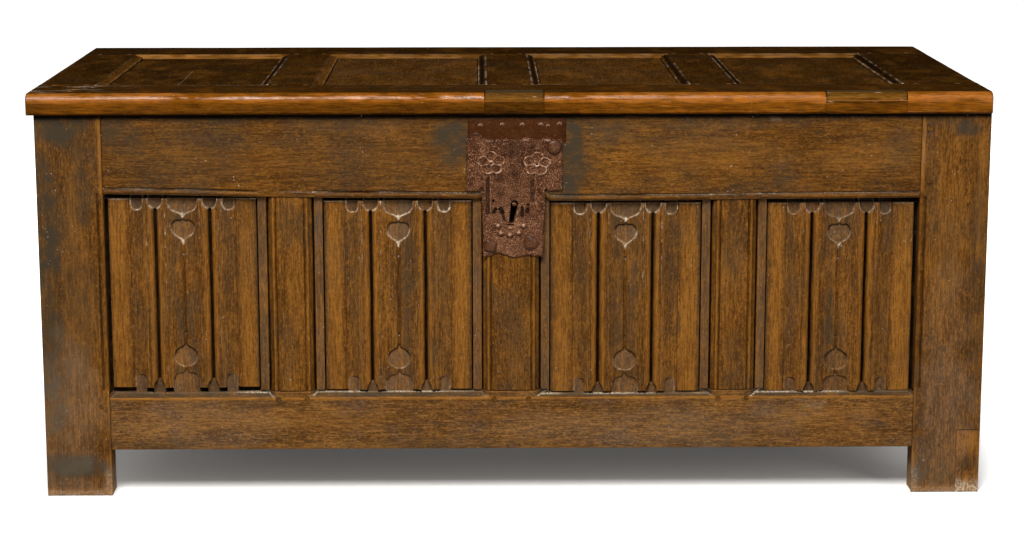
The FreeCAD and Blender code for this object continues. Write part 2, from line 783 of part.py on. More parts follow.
def fold_sinks(edge, up):
    """The carved sinks at one end of a panel."""
    middle_sink = (s.middle_sink_width, s.middle_sink_height, s.middle_sink_rise)
    channel_sink = (s.channel_sink_width, s.channel_sink_height, s.channel_sink_rise)
    outer_sink = (s.outer_sink_width, s.outer_sink_height, s.outer_sink_rise)
    channel_at = s.fold_groove / 2 + s.fold_hollow + s.fold_roll + s.fold_channel / 2
    hollow_at = channel_at + s.fold_channel / 2 + s.fold_ridge + s.fold_hollow / 2
    sinks = [arched_sink(as_size(0), edge, up, *middle_sink)]
    for side in (-1, 1):
        sinks.append(arched_sink(channel_at * side, edge, up, *channel_sink))
        sinks.append(arched_sink(hollow_at * side, edge, up, *outer_sink))
    return sinks


def heart(head):
    """A heart-like sink: flat on top, full sides, and a point at its foot."""
    half = s.heart_top / 2
    return [
        (half, head, s.heart_side),
        (-half, head),
        (as_size(0), head - s.heart_height, s.heart_side),
    ]


def linenfold_panel(name, bay):
    """A carved front panel with the tongues that sit in its groove."""
    reach = s.groove_depth - s.panel_play
    half = (bay[1] - bay[0]) / 2 + reach
    height = opening_head - opening_foot
    panel = Body(name, ((bay[0] + bay[1]) / 2, 0, opening_foot))
    panel.pad("plan", [linenfold_section(half)], height + reach * 2, -reach)
    for low, high in ((-reach, as_size(0)), (height, height + reach)):
        panel.hollow_block((-half, as_size(0), low), (half, s.groove_setback, high))
    panel.pocket("elevation", fold_sinks(height, -1), s.sink_floor)
    panel.pocket("elevation", fold_sinks(as_size(0), 1), s.sink_floor)
    eyes = [heart(height - s.heart_drop), Round(0, s.ring_lift, s.ring_radius)]
    panel.pocket("elevation", eyes, s.sink_floor)
    return keep(panel.body, name)


def linenfold_front():
    """The front between its stiles, all but the cuts that the lock needs."""
    ends = (left_shoulder, right_shoulder)
    moulding = s.quirk_width + s.bead_width + s.slope_width + s.band_width
    muntins = {
        "left": (s.left_muntin_at, s.muntin_face + moulding * 2, s.muntin_face),
        "centre": (s.centre_muntin_at, s.centre_muntin_face + moulding * 2, s.centre_muntin_face),
        "right": (s.right_muntin_at, s.muntin_face + moulding * 2, s.muntin_face),
    }
    openings = bays(ends, [(at, width) for at, width, face in muntins.values()])
    rooms = [panel_room(f"front_bay_{n}", front, bay) for n, bay in enumerate(openings, start=1)]
    for number, bay in enumerate(openings, start=1):
        linenfold_panel(f"linenfold_panel_{number}", bay)
    pegs = rail_pegs("front", front, ends)
    uprights = {}
    for side, (at, width, face) in muntins.items():
        through = muntin_pegs(f"front_muntin_{side}", front, at, width)
        blank = moulded_muntin(f"front_muntin_{side}", at, width, face)
        uprights[side] = cut(f"front_muntin_{side}_fitted", blank, rooms + through)
        pegs += through

    moulded = bays(ends, [(at, width - s.band_width * 2) for at, width, face in muntins.values()])
    beads = []
    chamfers = []
    for number, (low, high) in enumerate(moulded, start=1):
        start = (low, 0, 0)
        turned = [(corner[1], corner[0]) + tuple(-r for r in corner[2:])
                  for corner in edge_bead(opening_head, 1)]
        beads.append(prism(f"rail_bead_{number}", [turned], start, high - low, SECTION))
        corner = [
            (as_size(0), opening_foot),
            (as_size(0), opening_foot - s.sill_height),
            (s.sill_depth, opening_foot),
        ]
        chamfers.append(prism(f"sill_chamfer_{number}", [corner], start, high - low, SECTION))
    rails = {
        "top": (
            rail_blank("front_top_rail", front, ends, opening_head, s.top_rail_height),
            list(uprights.values()) + rooms + pegs + beads,
        ),
        "bottom": (
            rail_blank("front_bottom_rail", front, ends, s.foot_height, s.bottom_rail_height),
            list(uprights.values()) + rooms + pegs + chamfers,
        ),
    }
    return SimpleNamespace(rails=rails, rooms=rooms, pegs=pegs, uprights=uprights)


# --------------------------------------------------------------------------- iron: nails

def nail(name, point, head_radius, iron, facing, wall=front):
    """A forged nail: a coned head that stands on iron of some thickness, and a shank in the wood."""
    out, into, step = facing
    x, y, z = point
    seat = (x, y + iron * step[0], z + iron * step[1])
    head = document.addObject("Part::Cone", f"{name}_head")
    bind(head, Radius1=head_radius, Radius2=head_radius * s.nail_taper, Height=s.nail_head)
    wall.put(head, seat, out)
    shank = document.addObject("Part::Cylinder", f"{name}_shank")
    bind(shank, Radius=s.nail_radius, Height=s.nail_length)
    wall.put(shank, seat, into)
    return joined(name, [head, shank])


# --------------------------------------------------------------------------- iron: the lock

def lock_plate():
    """The iron plate: wide on the rail, narrow over the centre muntin, with keyhole and bosses."""
    half = s.plate_width / 2
    tongue = s.plate_tongue / 2
    head = s.carcase_height - s.strip_drop - s.strip_height
    step = below_rim(s.plate_step)
    foot = below_rim(s.plate_foot)
    outline = [
        (-half, head), (-half, step), (-tongue, step), (-tongue, foot),
        (tongue, foot), (tongue, step), (half, step), (half, head),
    ]
    plate = Body("lock_plate_body", (s.lock_at, 0, 0))
    plate.pad("elevation", [outline], s.plate_thickness)
    row = below_rim(s.boss_at)
    bosses = [Round(s.boss_pitch * place, row + s.boss_sag * (place * place), s.boss_radius)
              for place in range(-2, 3)]
    plate.pad("elevation", bosses, s.plate_thickness + s.boss_height)
    slot = rectangle(
        (-s.keyhole_slot / 2, below_rim(s.keyhole_foot)),
        (s.keyhole_slot / 2, below_rim(s.keyhole_at)),
    )
    plate.pocket("elevation", [slot], s.plate_thickness, s.plate_thickness)
    plate.pocket("elevation", [Round(0, below_rim(s.keyhole_at), s.keyhole_radius)], s.plate_thickness,
                 s.plate_thickness)
    return plate.body


def plate_nails():
    """Large nails of the plate and small ones of the strip."""
    made = []
    for number, (across, down) in enumerate(PLATE_NAILS, start=1):
        point = (s.lock_at + across, as_size(0), below_rim(as_size(down)))
        made.append(nail(f"plate_nail_{number}", point, s.plate_nail_radius, s.plate_thickness,
                         HEAD_OUT))
    up = s.carcase_height - s.strip_drop - s.strip_height / 2
    for number, across in enumerate(STRIP_NAILS, start=1):
        point = (s.lock_at + across, as_size(0), up)
        made.append(nail(f"strip_nail_{number}", point, s.strip_nail_radius, s.strip_thickness,
                         HEAD_OUT))
    return made


def flower(side):
    """One flower with its stem: a disc, a boss in its middle and a flat bar below."""
    x = s.lock_at + s.flower_spread / 2 * side
    y = -s.plate_thickness
    disc = rod(f"flower_disc_{side}", (x, y, below_rim(s.flower_at)), s.flower_radius, s.flower_height,
               ROD_OUTWARD)
    eye = rod(f"flower_eye_{side}", (x, y, below_rim(s.flower_at)), s.flower_eye_radius,
              s.flower_height * 2, ROD_OUTWARD)
    stem_x = x + s.stem_width / 2 * side
    stem = block(
        f"flower_stem_{side}",
        (stem_x - s.stem_width / 2, y - s.flower_height, below_rim(s.stem_foot)),
        (stem_x + s.stem_width / 2, y, below_rim(s.flower_at)),
    )
    return joined(f"flower_{side}", [disc, eye, stem])


def lock_case():
    """A tray of sheet iron on the rail's inner face, open to the wood and slotted for the staple."""
    inner = s.rail_thickness
    half = s.case_width / 2
    head = s.carcase_height - s.case_drop
    outside = block(
        "case_outside",
        (s.lock_at - half, inner, below_rim(s.case_foot)),
        (s.lock_at + half, inner + s.case_depth, head),
    )
    ears = block(
        "case_ears",
        (s.lock_at - half - s.case_ear, inner, below_rim(s.flower_at) - s.case_ear),
        (s.lock_at + half + s.case_ear, inner + s.case_wall, below_rim(s.flower_at) + s.case_ear),
    )
    inside = block(
        "case_inside",
        (s.lock_at - half + s.case_wall, inner, below_rim(s.case_foot) + s.case_wall),
        (s.lock_at + half - s.case_wall, inner + s.case_depth - s.case_wall, head - s.case_wall),
    )
    reach = s.staple_thickness / 2 + s.staple_play
    slot = block(
        "case_slot",
        (s.lock_at + s.staple_at - reach, inner, head - s.case_wall * 2),
        (s.lock_at + s.staple_at + reach, inner + s.case_depth - s.case_wall, head + s.case_wall),
    )
    return joined("case_shell", [outside, ears]), [inside, slot]


def case_nails():
    """One nail through each ear of the lock case."""
    made = []
    for side in (-1, 1):
        x = s.lock_at + (s.case_width / 2 + s.case_ear / 2) * side
        point = (x, s.rail_thickness, below_rim(s.flower_at))
        made.append(nail(f"case_nail_{side}", point, s.iron_nail_radius, s.case_wall, HEAD_IN))
    return made


def lock_bolt():
    """The bolt: a bar in two guides, an upright and a nose, drawn back from the staple."""
    back_face = s.rail_thickness + s.case_depth - s.case_wall - s.bolt_play
    left = s.lock_at - s.case_width / 2 + s.case_wall + s.bolt_end_gap
    foot = below_rim(s.bolt_bar_at) - s.bolt_bar_height / 2
    bar = block(
        "bolt_bar",
        (left, back_face - s.bolt_bar_depth, foot),
        (left + s.bolt_bar_length, back_face, foot + s.bolt_bar_height),
    )
    stem_right = s.lock_at + s.staple_at - s.staple_thickness / 2 - bolt_throw - s.bolt_play
    nose_head = s.carcase_height - s.staple_drop + s.staple_sill + s.bolt_nose_lift + s.bolt_nose_height
    stem = block(
        "bolt_stem",
        (stem_right - s.bolt_stem_width, staple_y - s.bolt_thickness / 2, foot),
        (stem_right, staple_y + s.bolt_thickness / 2, nose_head),
    )
    nose = block(
        "bolt_nose",
        (stem_right, staple_y - s.bolt_thickness / 2, nose_head - s.bolt_nose_height),
        (s.lock_at + s.staple_at - s.staple_thickness / 2 - s.bolt_nose_gap,
         staple_y + s.bolt_thickness / 2, nose_head),
    )
    notch_at = s.lock_at - bolt_throw / 2
    notch = block(
        "bolt_notch",
        (notch_at - s.bolt_notch_width / 2, s.rail_thickness, foot),
        (notch_at + s.bolt_notch_width / 2, back_face, foot + s.bolt_notch_height),
    )
    return cut("lock_bolt_cut", joined("lock_bolt_blank", [bar, stem, nose]), [notch])


def bolt_guide(side):
    """A bridge over the bolt's bar, open to the case's cover."""
    x = s.lock_at + s.guide_spread / 2 * side
    cover = s.rail_thickness + s.case_depth - s.case_wall
    bar_front = cover - s.bolt_play - s.bolt_bar_depth
    foot = below_rim(s.bolt_bar_at) - s.bolt_bar_height / 2 - s.bolt_play
    head = below_rim(s.bolt_bar_at) + s.bolt_bar_height / 2 + s.bolt_play
    whole = block(
        f"guide_block_{side}",
        (x - s.guide_width / 2, bar_front - s.bolt_play - s.guide_wall, foot - s.guide_wall),
        (x + s.guide_width / 2, cover, head + s.guide_wall),
    )
    way = block(
        f"guide_way_{side}",
        (x - s.guide_width / 2, bar_front - s.bolt_play, foot),
        (x + s.guide_width / 2, cover, head),
    )
    return cut(f"guide_{side}", whole, [way])


def bolt_spring():
    """A bent leaf from the case's right wall down onto the bolt's bar."""
    wall_x = s.case_width / 2 - s.case_wall
    tip_x = wall_x - s.spring_length
    tip_z = below_rim(s.bolt_bar_at) + s.bolt_bar_height / 2 + s.bolt_play
    root_z = tip_z + s.spring_rise
    leaf = [
        (tip_x, tip_z),
        (wall_x, root_z, -s.spring_bend),
        (wall_x, root_z + s.spring_thickness),
        (tip_x, tip_z + s.spring_thickness, s.spring_bend),
    ]
    start = (s.lock_at, staple_y + s.bolt_thickness, 0)
    return prism("bolt_spring_leaf", [leaf], start, s.spring_width, ELEVATION)


def lid_staple():
    """The staple: a plate let into the lid and an eye that drops into the lock case."""
    x = s.lock_at + s.staple_at
    foot = s.carcase_height - s.staple_drop
    plate = block(
        "staple_plate",
        (x - s.staple_plate_length / 2, staple_y - s.staple_plate_width / 2, s.carcase_height),
        (x + s.staple_plate_length / 2, staple_y + s.staple_plate_width / 2,
         s.carcase_height + s.staple_plate_thickness),
    )
    half = s.staple_thickness / 2
    shank = block(
        "staple_shank",
        (x - half, staple_y - s.staple_depth / 2, foot),
        (x + half, staple_y + s.staple_depth / 2, s.carcase_height),
    )
    eye = block(
        "staple_eye",
        (x - half, staple_y - s.staple_eye / 2, foot + s.staple_sill),
        (x + half, staple_y + s.staple_eye / 2, foot + s.staple_sill + s.staple_eye_height),
    )
    return joined("staple_blank", [plate, shank]), [eye]


# --------------------------------------------------------------------------- iron: the hinges

def strap(name, at):
    """A lid strap: a long leaf let into the lid's underside, a neck and one knuckle."""
    low = s.carcase_height
    high = low + s.leaf_thickness
    neck_start = hinge_y - s.barrel_radius - s.barrel_room
    half = s.strap_width / 2
    knuckle = s.knuckle_length / 2
    leaf = block(f"{name}_leaf", (at - half, s.carcase_depth - s.strap_length, low),
                 (at + half, neck_start, high))
    neck = block(f"{name}_neck", (at - knuckle, neck_start, low), (at + knuckle, hinge_y, high))
    barrel = rod(f"{name}_knuckle", (at - knuckle, hinge_y, hinge_z), s.barrel_radius,
                 s.knuckle_length, ROD_ALONG)
    bore = rod(f"{name}_bore", (at - knuckle, hinge_y, hinge_z), s.pin_radius + s.pin_play,
               s.knuckle_length, ROD_ALONG)
    return joined(f"{name}_blank", [leaf, neck, barrel]), bore


def tail(name, at):
    """A hinge tail: a leaf nailed to the back rail and two knuckles outside the strap's."""
    half = s.barrel_length / 2
    inner = s.knuckle_length / 2 + s.knuckle_gap
    leaf_head = hinge_z - s.barrel_radius - s.barrel_room
    parts = [block(f"{name}_leaf", (at - half, s.carcase_depth, hinge_z - s.tail_height),
                   (at + half, s.carcase_depth + s.leaf_thickness, leaf_head))]
    for side, (start, end) in (("left", (at - half, at - inner)), ("right", (at + inner, at + half))):
        parts.append(block(f"{name}_lug_{side}", (start, s.carcase_depth, leaf_head),
                           (end, s.carcase_depth + s.leaf_thickness, hinge_z)))
        parts.append(rod(f"{name}_knuckle_{side}", (start, hinge_y, hinge_z), s.barrel_radius,
                         end - start, ROD_ALONG))
    return joined(f"{name}_blank", parts)


# --------------------------------------------------------------------------- the lid

def lid_rail_section(width):
    """Front rail of the lid: a round on its upper front edge and a bevel below."""
    return [
        (s.lid_arris, as_size(0)),
        (width, as_size(0)),
        (width, s.lid_thickness),
        (s.lid_nose_radius, s.lid_thickness),
        (as_size(0), s.lid_thickness - s.lid_nose_radius, s.lid_nose_radius),
        (as_size(0), s.lid_arris),
    ]


def lid_upright(name, edges, bevels):
    """A stile or muntin of the lid, bevelled beside the panels, with a tenon at each end."""
    low, high = edges
    left_bevel, right_bevel = bevels
    width = high - low
    top = s.lid_thickness
    section = [(as_size(0), as_size(0)), (width, as_size(0))]
    if right_bevel:
        section += [(width, top - s.lid_bevel_drop), (width - s.lid_bevel_width, top)]
    else:
        section += [(width, top)]
    if left_bevel:
        section += [(s.lid_bevel_width, top), (as_size(0), top - s.lid_bevel_drop)]
    else:
        section += [(as_size(0), top)]
    board = Body(f"{name}_board", (low, lid_inner_front, s.carcase_height))
    board.pad("elevation", [section], lid_inner_back - lid_inner_front, away=True)
    tenon = block(
        f"{name}_tenons",
        (low + s.tenon_shoulder, lid_inner_front - s.lid_tenon_length, lid_groove_foot),
        (high - s.tenon_shoulder, lid_inner_back + s.lid_tenon_length, lid_groove_head),
    )
    return joined(f"{name}_blank", [board.body, tenon])


def lid_peg_pair(name, edges):
    """Pegs through both tenons of one stile or muntin of the lid."""
    at = (edges[0] + edges[1]) / 2
    half = (edges[1] - edges[0]) / 4
    made = []
    for end, y in (("front", lid_inner_front - s.peg_margin), ("back", lid_inner_back + s.peg_margin)):
        for side in (-1, 1):
            start = (at + half * side, y, s.carcase_height + s.leaf_thickness)
            made.append(rod(f"{name}_{end}_peg_{side}", start, s.peg_radius,
                            s.lid_thickness - s.leaf_thickness))
    return made


# --------------------------------------------------------------------------- assembly

# Places of the forged nails: on the lock plate from the lock's middle and the rim, in the strip
# above it from the lock's middle, in a lid strap inwards from the back plane, in a hinge tail
# sideways from its middle and down from the pin.
PLATE_NAILS = ((-60, 45), (61, 52), (-38, 211), (27, 206))
STRIP_NAILS = (-53, -19, 13, 42, 70)
STRAP_NAILS = (62, 200, 350)
TAIL_NAILS = ((-18, 34), (18, 34), (-18, 76), (18, 76))
FLOOR_BOARDS = 5

# The floor boards' own space, housed in the bottom rails.
floor_low = (
    s.rail_thickness - s.floor_housing - s.carcase_length / 2,
    s.rail_thickness - s.floor_housing,
    s.foot_height + s.floor_lift,
)
floor_high = (
    s.carcase_length / 2 - s.rail_thickness + s.floor_housing,
    s.carcase_depth - s.rail_thickness + s.floor_housing,
    s.foot_height + s.floor_lift + s.floor_thickness,
)
floor_room = block("floor_room", floor_low, floor_high)

# The four sides.
fold = linenfold_front()
rear_reach = s.carcase_length / 2 - s.rear_stile_width
rear = plain_side("back", back, (-rear_reach, rear_reach), (-rear_reach / 3, rear_reach / 3))
end_reach = s.carcase_depth / 2 - s.stile_thickness
ends = (-end_reach, end_reach)
left_side = plain_side("left_end", left_end, ends, (as_size(0),))
right_side = plain_side("right_end", right_end, ends, (as_size(0),))
all_pegs = fold.pegs + rear.pegs + left_side.pegs + right_side.pegs
keep(group("all_frame_pegs", all_pegs), "frame_pegs")

# The lock's iron on and behind the front.
front_nails = plate_nails()
ear_nails = case_nails()
keep(group("plate_nail_group", front_nails), "lock_nails")
keep(cut("lock_plate_pierced", lock_plate(), front_nails), "lock_plate")
strip_half = s.strip_width / 2
strip_head = s.carcase_height - s.strip_drop
strip = block(
    "strip_whole",
    (s.lock_at + s.strip_shift - strip_half, -s.strip_thickness, strip_head - s.strip_height),
    (s.lock_at + s.strip_shift + strip_half, as_size(0), strip_head),
)
keep(cut("strip_pierced", strip, front_nails), "lock_top_strip")
keep(group("flower_pair", [flower(-1), flower(1)]), "lock_flowers")
case_shell, case_hollows = lock_case()
keep(cut("case_pierced", case_shell, case_hollows + ear_nails), "lock_case")
keep(lock_bolt(), "lock_bolt")
keep(group("guide_pair", [bolt_guide(-1), bolt_guide(1)]), "bolt_guides")
keep(bolt_spring(), "bolt_spring")
pin_start = (s.lock_at, -s.drill_pin_stand, below_rim(s.keyhole_at))
pin_length = s.drill_pin_stand + s.rail_thickness + s.case_depth - s.case_wall
keep(rod("key_pin", pin_start, s.drill_pin_radius, pin_length, ROD_INWARD), "drill_pin")
key_window = block(
    "key_window",
    (s.lock_at - s.key_window_width / 2, 0, below_rim(s.key_window_foot)),
    (s.lock_at + s.key_window_width / 2, s.rail_thickness, below_rim(s.key_window_head)),
)

# The hinges.
hinge_places = {"left": s.lid_left_muntin_at, "right": s.lid_right_muntin_at}
strap_nails = []
tail_nails = []
straps = []
pins = []
barrel_rooms = []
for hand, hinge_x in hinge_places.items():
    for number, inwards in enumerate(STRAP_NAILS, start=1):
        place = (hinge_x, s.carcase_depth - inwards, s.carcase_height)
        strap_nails.append(nail(f"strap_nail_{hand}_{number}", place, s.iron_nail_radius, 0, HEAD_DOWN))
    for number, (across, down) in enumerate(TAIL_NAILS, start=1):
        place = (across - hinge_x, 0, hinge_z - down)
        name = f"tail_nail_{hand}_{number}"
        tail_nails.append(nail(name, place, s.iron_nail_radius, s.leaf_thickness, HEAD_OUT, back))
    pin_place = (hinge_x - s.barrel_length / 2, hinge_y, hinge_z)
    pins.append(rod(f"hinge_pin_{hand}", pin_place, s.pin_radius, s.barrel_length, ROD_ALONG))
    room = s.barrel_length / 2 + s.barrel_room
    barrel_rooms.append(block(
        f"barrel_room_{hand}",
        (hinge_x - room, hinge_y - s.barrel_radius - s.barrel_room, s.carcase_height),
        (hinge_x + room, lid_back, hinge_z + s.barrel_radius + s.barrel_room),
    ))
keep(group("hinge_pin_pair", pins), "hinge_pins")
for hand, hinge_x in hinge_places.items():
    blank, bore = strap(f"strap_{hand}", hinge_x)
    whole = cut(f"strap_{hand}_pierced", blank, [bore] + strap_nails)
    straps.append(keep(whole, f"hinge_strap_{hand}"))
    whole = cut(f"tail_{hand}_pierced", tail(f"tail_{hand}", hinge_x), pins + tail_nails)
    keep(whole, f"hinge_tail_{hand}")

# The staple under the lid.
staple_x = s.lock_at + s.staple_at
for side in (-1, 1):
    place = (staple_x + s.staple_plate_length * side / 3, staple_y, s.carcase_height)
    strap_nails.append(nail(f"staple_nail_{side}", place, s.iron_nail_radius, 0, HEAD_DOWN))
staple_blank, staple_hollows = lid_staple()
staple = keep(cut("staple_pierced", staple_blank, staple_hollows + strap_nails), "lid_staple")
keep(group("lid_nail_group", strap_nails), "lid_nails")
keep(group("carcase_nail_group", tail_nails + ear_nails), "carcase_nails")

# Rails of the four sides and the front muntins, now that the iron is placed.
for hand in ("left", "right"):
    keep(fold.uprights[hand], f"front_muntin_{hand}")
centre_tools = [key_window] + front_nails
centre = cut("front_muntin_centre_pierced", fold.uprights["centre"], centre_tools)
keep(centre, "front_muntin_centre")
finish_rails("front", fold, front_nails + ear_nails)
finish_rails("back", rear, tail_nails)
finish_rails("left_end", left_side)
finish_rails("right_end", right_side)

# The four stiles, which are also the legs.
half_length = s.carcase_length / 2
beads = {
    "left": prism("left_stile_bead", [edge_bead(left_shoulder, -1)], (0, 0, opening_foot),
                  opening_head - opening_foot),
    "right": prism("right_stile_bead", [edge_bead(right_shoulder, 1)], (0, 0, opening_foot),
                   opening_head - opening_foot),
}
post_ends = {
    "front_stile_left": (-half_length, left_shoulder, 0, fold, left_side, [beads["left"]]),
    "front_stile_right": (right_shoulder, half_length, 0, fold, right_side, [beads["right"]]),
    "rear_stile_left": (-half_length, -rear_reach, 1, rear, left_side, []),
    "rear_stile_right": (rear_reach, half_length, 1, rear, right_side, []),
}
posts = []
for name, (low_x, high_x, at_back, long_side, end_side, extra) in post_ends.items():
    near = (s.carcase_depth - s.stile_thickness) * at_back
    post = block(f"{name}_blank", (low_x, near, 0), (high_x, near + s.stile_thickness, s.carcase_height))
    tools = [long_side.top, long_side.bottom, end_side.top, end_side.bottom]
    tools += long_side.rooms + end_side.rooms + long_side.pegs + end_side.pegs + extra
    if name == "front_stile_right":
        corner = block(
            "foot_patch_region",
            (half_length - s.foot_patch_width, 0, 0),
            (half_length, s.foot_patch_depth, s.foot_patch_height),
        )
        keep(shared("foot_patch_piece", post, corner), "foot_patch")
        tools.append(corner)
    posts.append(post)
    keep(cut(f"{name}_fitted", post, tools), name)

# The floor: boards from front to back, notched round the stiles.
floor_length = floor_high[0] - floor_low[0]
board_pitch = (floor_length + s.floor_gap) / FLOOR_BOARDS
boards = []
for number in range(FLOOR_BOARDS):
    start = floor_low[0] + board_pitch * number
    high = (start + board_pitch - s.floor_gap, floor_high[1], floor_high[2])
    boards.append(block(f"floor_board_{number + 1}", (start, floor_low[1], floor_low[2]), high))
keep(cut("floor_boards_notched", group("floor_board_group", boards), posts), "floor_boards")

# The lid.
stile_edges = {
    "stile_left": (lid_left, lid_left + s.lid_left_stile_width),
    "stile_right": (lid_right - s.lid_right_stile_width, lid_right),
}
half = s.lid_muntin_width / 2
muntin_edges = {
    "muntin_left": (s.lid_left_muntin_at - half, s.lid_left_muntin_at + half),
    "muntin_centre": (s.lid_centre_muntin_at - half, s.lid_centre_muntin_at + half),
    "muntin_right": (s.lid_right_muntin_at - half, s.lid_right_muntin_at + half),
}
lid_ends = (stile_edges["stile_left"][1], stile_edges["stile_right"][0])
lid_bays = bays(lid_ends, [((low + high) / 2, high - low) for low, high in muntin_edges.values()])
lid_rooms = []
bevels = []
for number, (low, high) in enumerate(lid_bays, start=1):
    deep = s.groove_depth
    lid_rooms.append(block(
        f"lid_bay_{number}",
        (low - deep, lid_inner_front - deep, lid_groove_foot),
        (high + deep, lid_inner_back + deep, lid_groove_head),
    ))
    reach = s.groove_depth - s.panel_play
    keep(block(
        f"lid_board_{number}",
        (low - reach, lid_inner_front - reach, lid_groove_foot),
        (high + reach, lid_inner_back + reach, lid_groove_head),
    ), f"lid_panel_{number}")
    for side, edge, into in (("front", lid_inner_front, -1), ("back", lid_inner_back, 1)):
        corner = [
            (edge, lid_top),
            (edge + s.lid_bevel_width * into, lid_top),
            (edge, lid_top - s.lid_bevel_drop),
        ]
        bevels.append(prism(f"lid_bevel_{side}_{number}", [corner], (low, 0, 0), high - low, SECTION))

lid_pegs = []
for name, edges in (stile_edges | muntin_edges).items():
    lid_pegs += lid_peg_pair(name, edges)
keep(group("lid_peg_group", lid_pegs), "lid_pegs")
lid_uprights = []
for name, edges in stile_edges.items():
    bevelled = (name == "stile_right", name == "stile_left")
    lid_uprights.append(keep(
        cut(f"lid_{name}_fitted", lid_upright(f"lid_{name}", edges, bevelled), lid_rooms + lid_pegs),
        f"lid_{name}",
    ))
for name, edges in muntin_edges.items():
    tools = lid_rooms + lid_pegs + straps + strap_nails
    lid_uprights.append(keep(
        cut(f"lid_{name}_fitted", lid_upright(f"lid_{name}", edges, (True, True)), tools),
        f"lid_{name}",
    ))
common_tools = lid_uprights + lid_rooms + lid_pegs + bevels + strap_nails
back_blank = block("lid_back_board", (lid_left, lid_inner_back, s.carcase_height),
                   (lid_right, lid_back, lid_top))
keep(cut("lid_back_fitted", back_blank, common_tools + straps + barrel_rooms), "lid_back_rail")
front_board = Body("lid_front_board", (lid_left, lid_front, s.carcase_height))
front_board.pad("section", [lid_rail_section(s.lid_front_rail_width)], s.lid_length)
patch_regions = {
    "hasp": (s.lock_at, s.hasp_patch_width / 2, s.hasp_patch_depth),
    "edge": (s.edge_patch_at, s.edge_patch_width / 2, s.edge_patch_depth),
}
regions = []
patches = []
for name, (at, reach, depth) in patch_regions.items():
    region = block(f"{name}_patch_region", (at - reach, lid_front, lid_top - s.patch_height),
                   (at + reach, lid_front + depth, lid_top))
    regions.append(region)
    patches.append(shared(f"{name}_patch", front_board.body, region))
keep(group("patch_pair", patches), "lid_patches")
keep(cut("lid_front_fitted", front_board.body, common_tools + regions + [staple]), "lid_front_rail")


# --------------------------------------------------------------------------- check and write

document.recompute()
faults = [thing.Name for thing in document.Objects
          if "Invalid" in thing.State or "Error" in thing.State]
for piece in finished:
    if piece.Shape.isNull() or not piece.Shape.isValid() or piece.Shape.Volume <= 0:
        faults.append(piece.Label)
if faults:
    raise RuntimeError(f"pieces that failed: {faults}")

os.makedirs("parts", exist_ok=True)
for piece in finished:
    piece.Shape.exportStep(f"parts/{piece.Label}.step")
print(f"{len(finished)} pieces written")
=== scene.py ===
import itertools
import math

import bpy
import numpy as np
from bpy.props import FloatProperty, FloatVectorProperty, PointerProperty
from mathutils import Euler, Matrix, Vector


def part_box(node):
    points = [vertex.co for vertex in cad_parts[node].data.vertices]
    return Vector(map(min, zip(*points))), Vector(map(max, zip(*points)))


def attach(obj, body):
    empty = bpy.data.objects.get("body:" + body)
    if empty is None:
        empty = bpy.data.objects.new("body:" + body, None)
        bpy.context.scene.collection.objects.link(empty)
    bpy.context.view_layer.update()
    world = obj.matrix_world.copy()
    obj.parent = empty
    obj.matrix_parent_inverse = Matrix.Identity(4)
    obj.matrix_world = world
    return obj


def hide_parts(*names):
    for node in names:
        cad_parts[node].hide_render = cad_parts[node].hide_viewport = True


bl_info = {
    "name": "Linenfold coffer",
    "version": (1, 0, 0),
    "blender": (4, 5, 0),
    "location": "View3D > Sidebar > Coffer",
    "description": "Finishes a joined oak coffer: worn boards, carved linenfold, a rusted lock plate",
    "category": "Object",
}

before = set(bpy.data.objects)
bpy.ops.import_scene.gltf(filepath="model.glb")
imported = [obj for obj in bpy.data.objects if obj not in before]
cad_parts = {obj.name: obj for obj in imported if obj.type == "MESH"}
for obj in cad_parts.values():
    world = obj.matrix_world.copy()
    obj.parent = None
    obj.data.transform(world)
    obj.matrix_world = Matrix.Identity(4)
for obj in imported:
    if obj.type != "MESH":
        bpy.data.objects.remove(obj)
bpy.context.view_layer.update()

MM = 0.001
AXIS = {"x": 0, "y": 1, "z": 2}
SIDES = ("left", "centre", "right")


def node_box(name):
    """Lowest and highest corner of a node, as two arrays in metres."""
    low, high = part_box(name)
    return np.array(low), np.array(high)


FRONT = node_box("front_top_rail")[0][1]
RIM = node_box("front_top_rail")[1][2]
OPENING_FOOT = node_box("front_bottom_rail")[1][2]
OPENING_HEAD = node_box("front_top_rail")[0][2]
LEFT_SHOULDER = node_box("front_stile_left")[1][0]
RIGHT_SHOULDER = node_box("front_stile_right")[0][0]
LOCK_X = (node_box("lock_plate")[0][0] + node_box("lock_plate")[1][0]) / 2
PANEL_TONGUE = 8 * MM
MUNTINS = [node_box(f"front_muntin_{side}") for side in SIDES]


# --------------------------------------------------------------------------- settings

def colour(name, description, *default):
    return FloatVectorProperty(name=name, description=description, subtype="COLOR", size=3,
                               default=default, min=0, max=1)


def length(name, description, default, least, most):
    return FloatProperty(name=name, description=description, default=default, min=least, max=most,
                         unit="LENGTH")


def level(name, description, default, most=1.0, unit="NONE"):
    return FloatProperty(name=name, description=description, default=default, min=0, max=most, unit=unit)


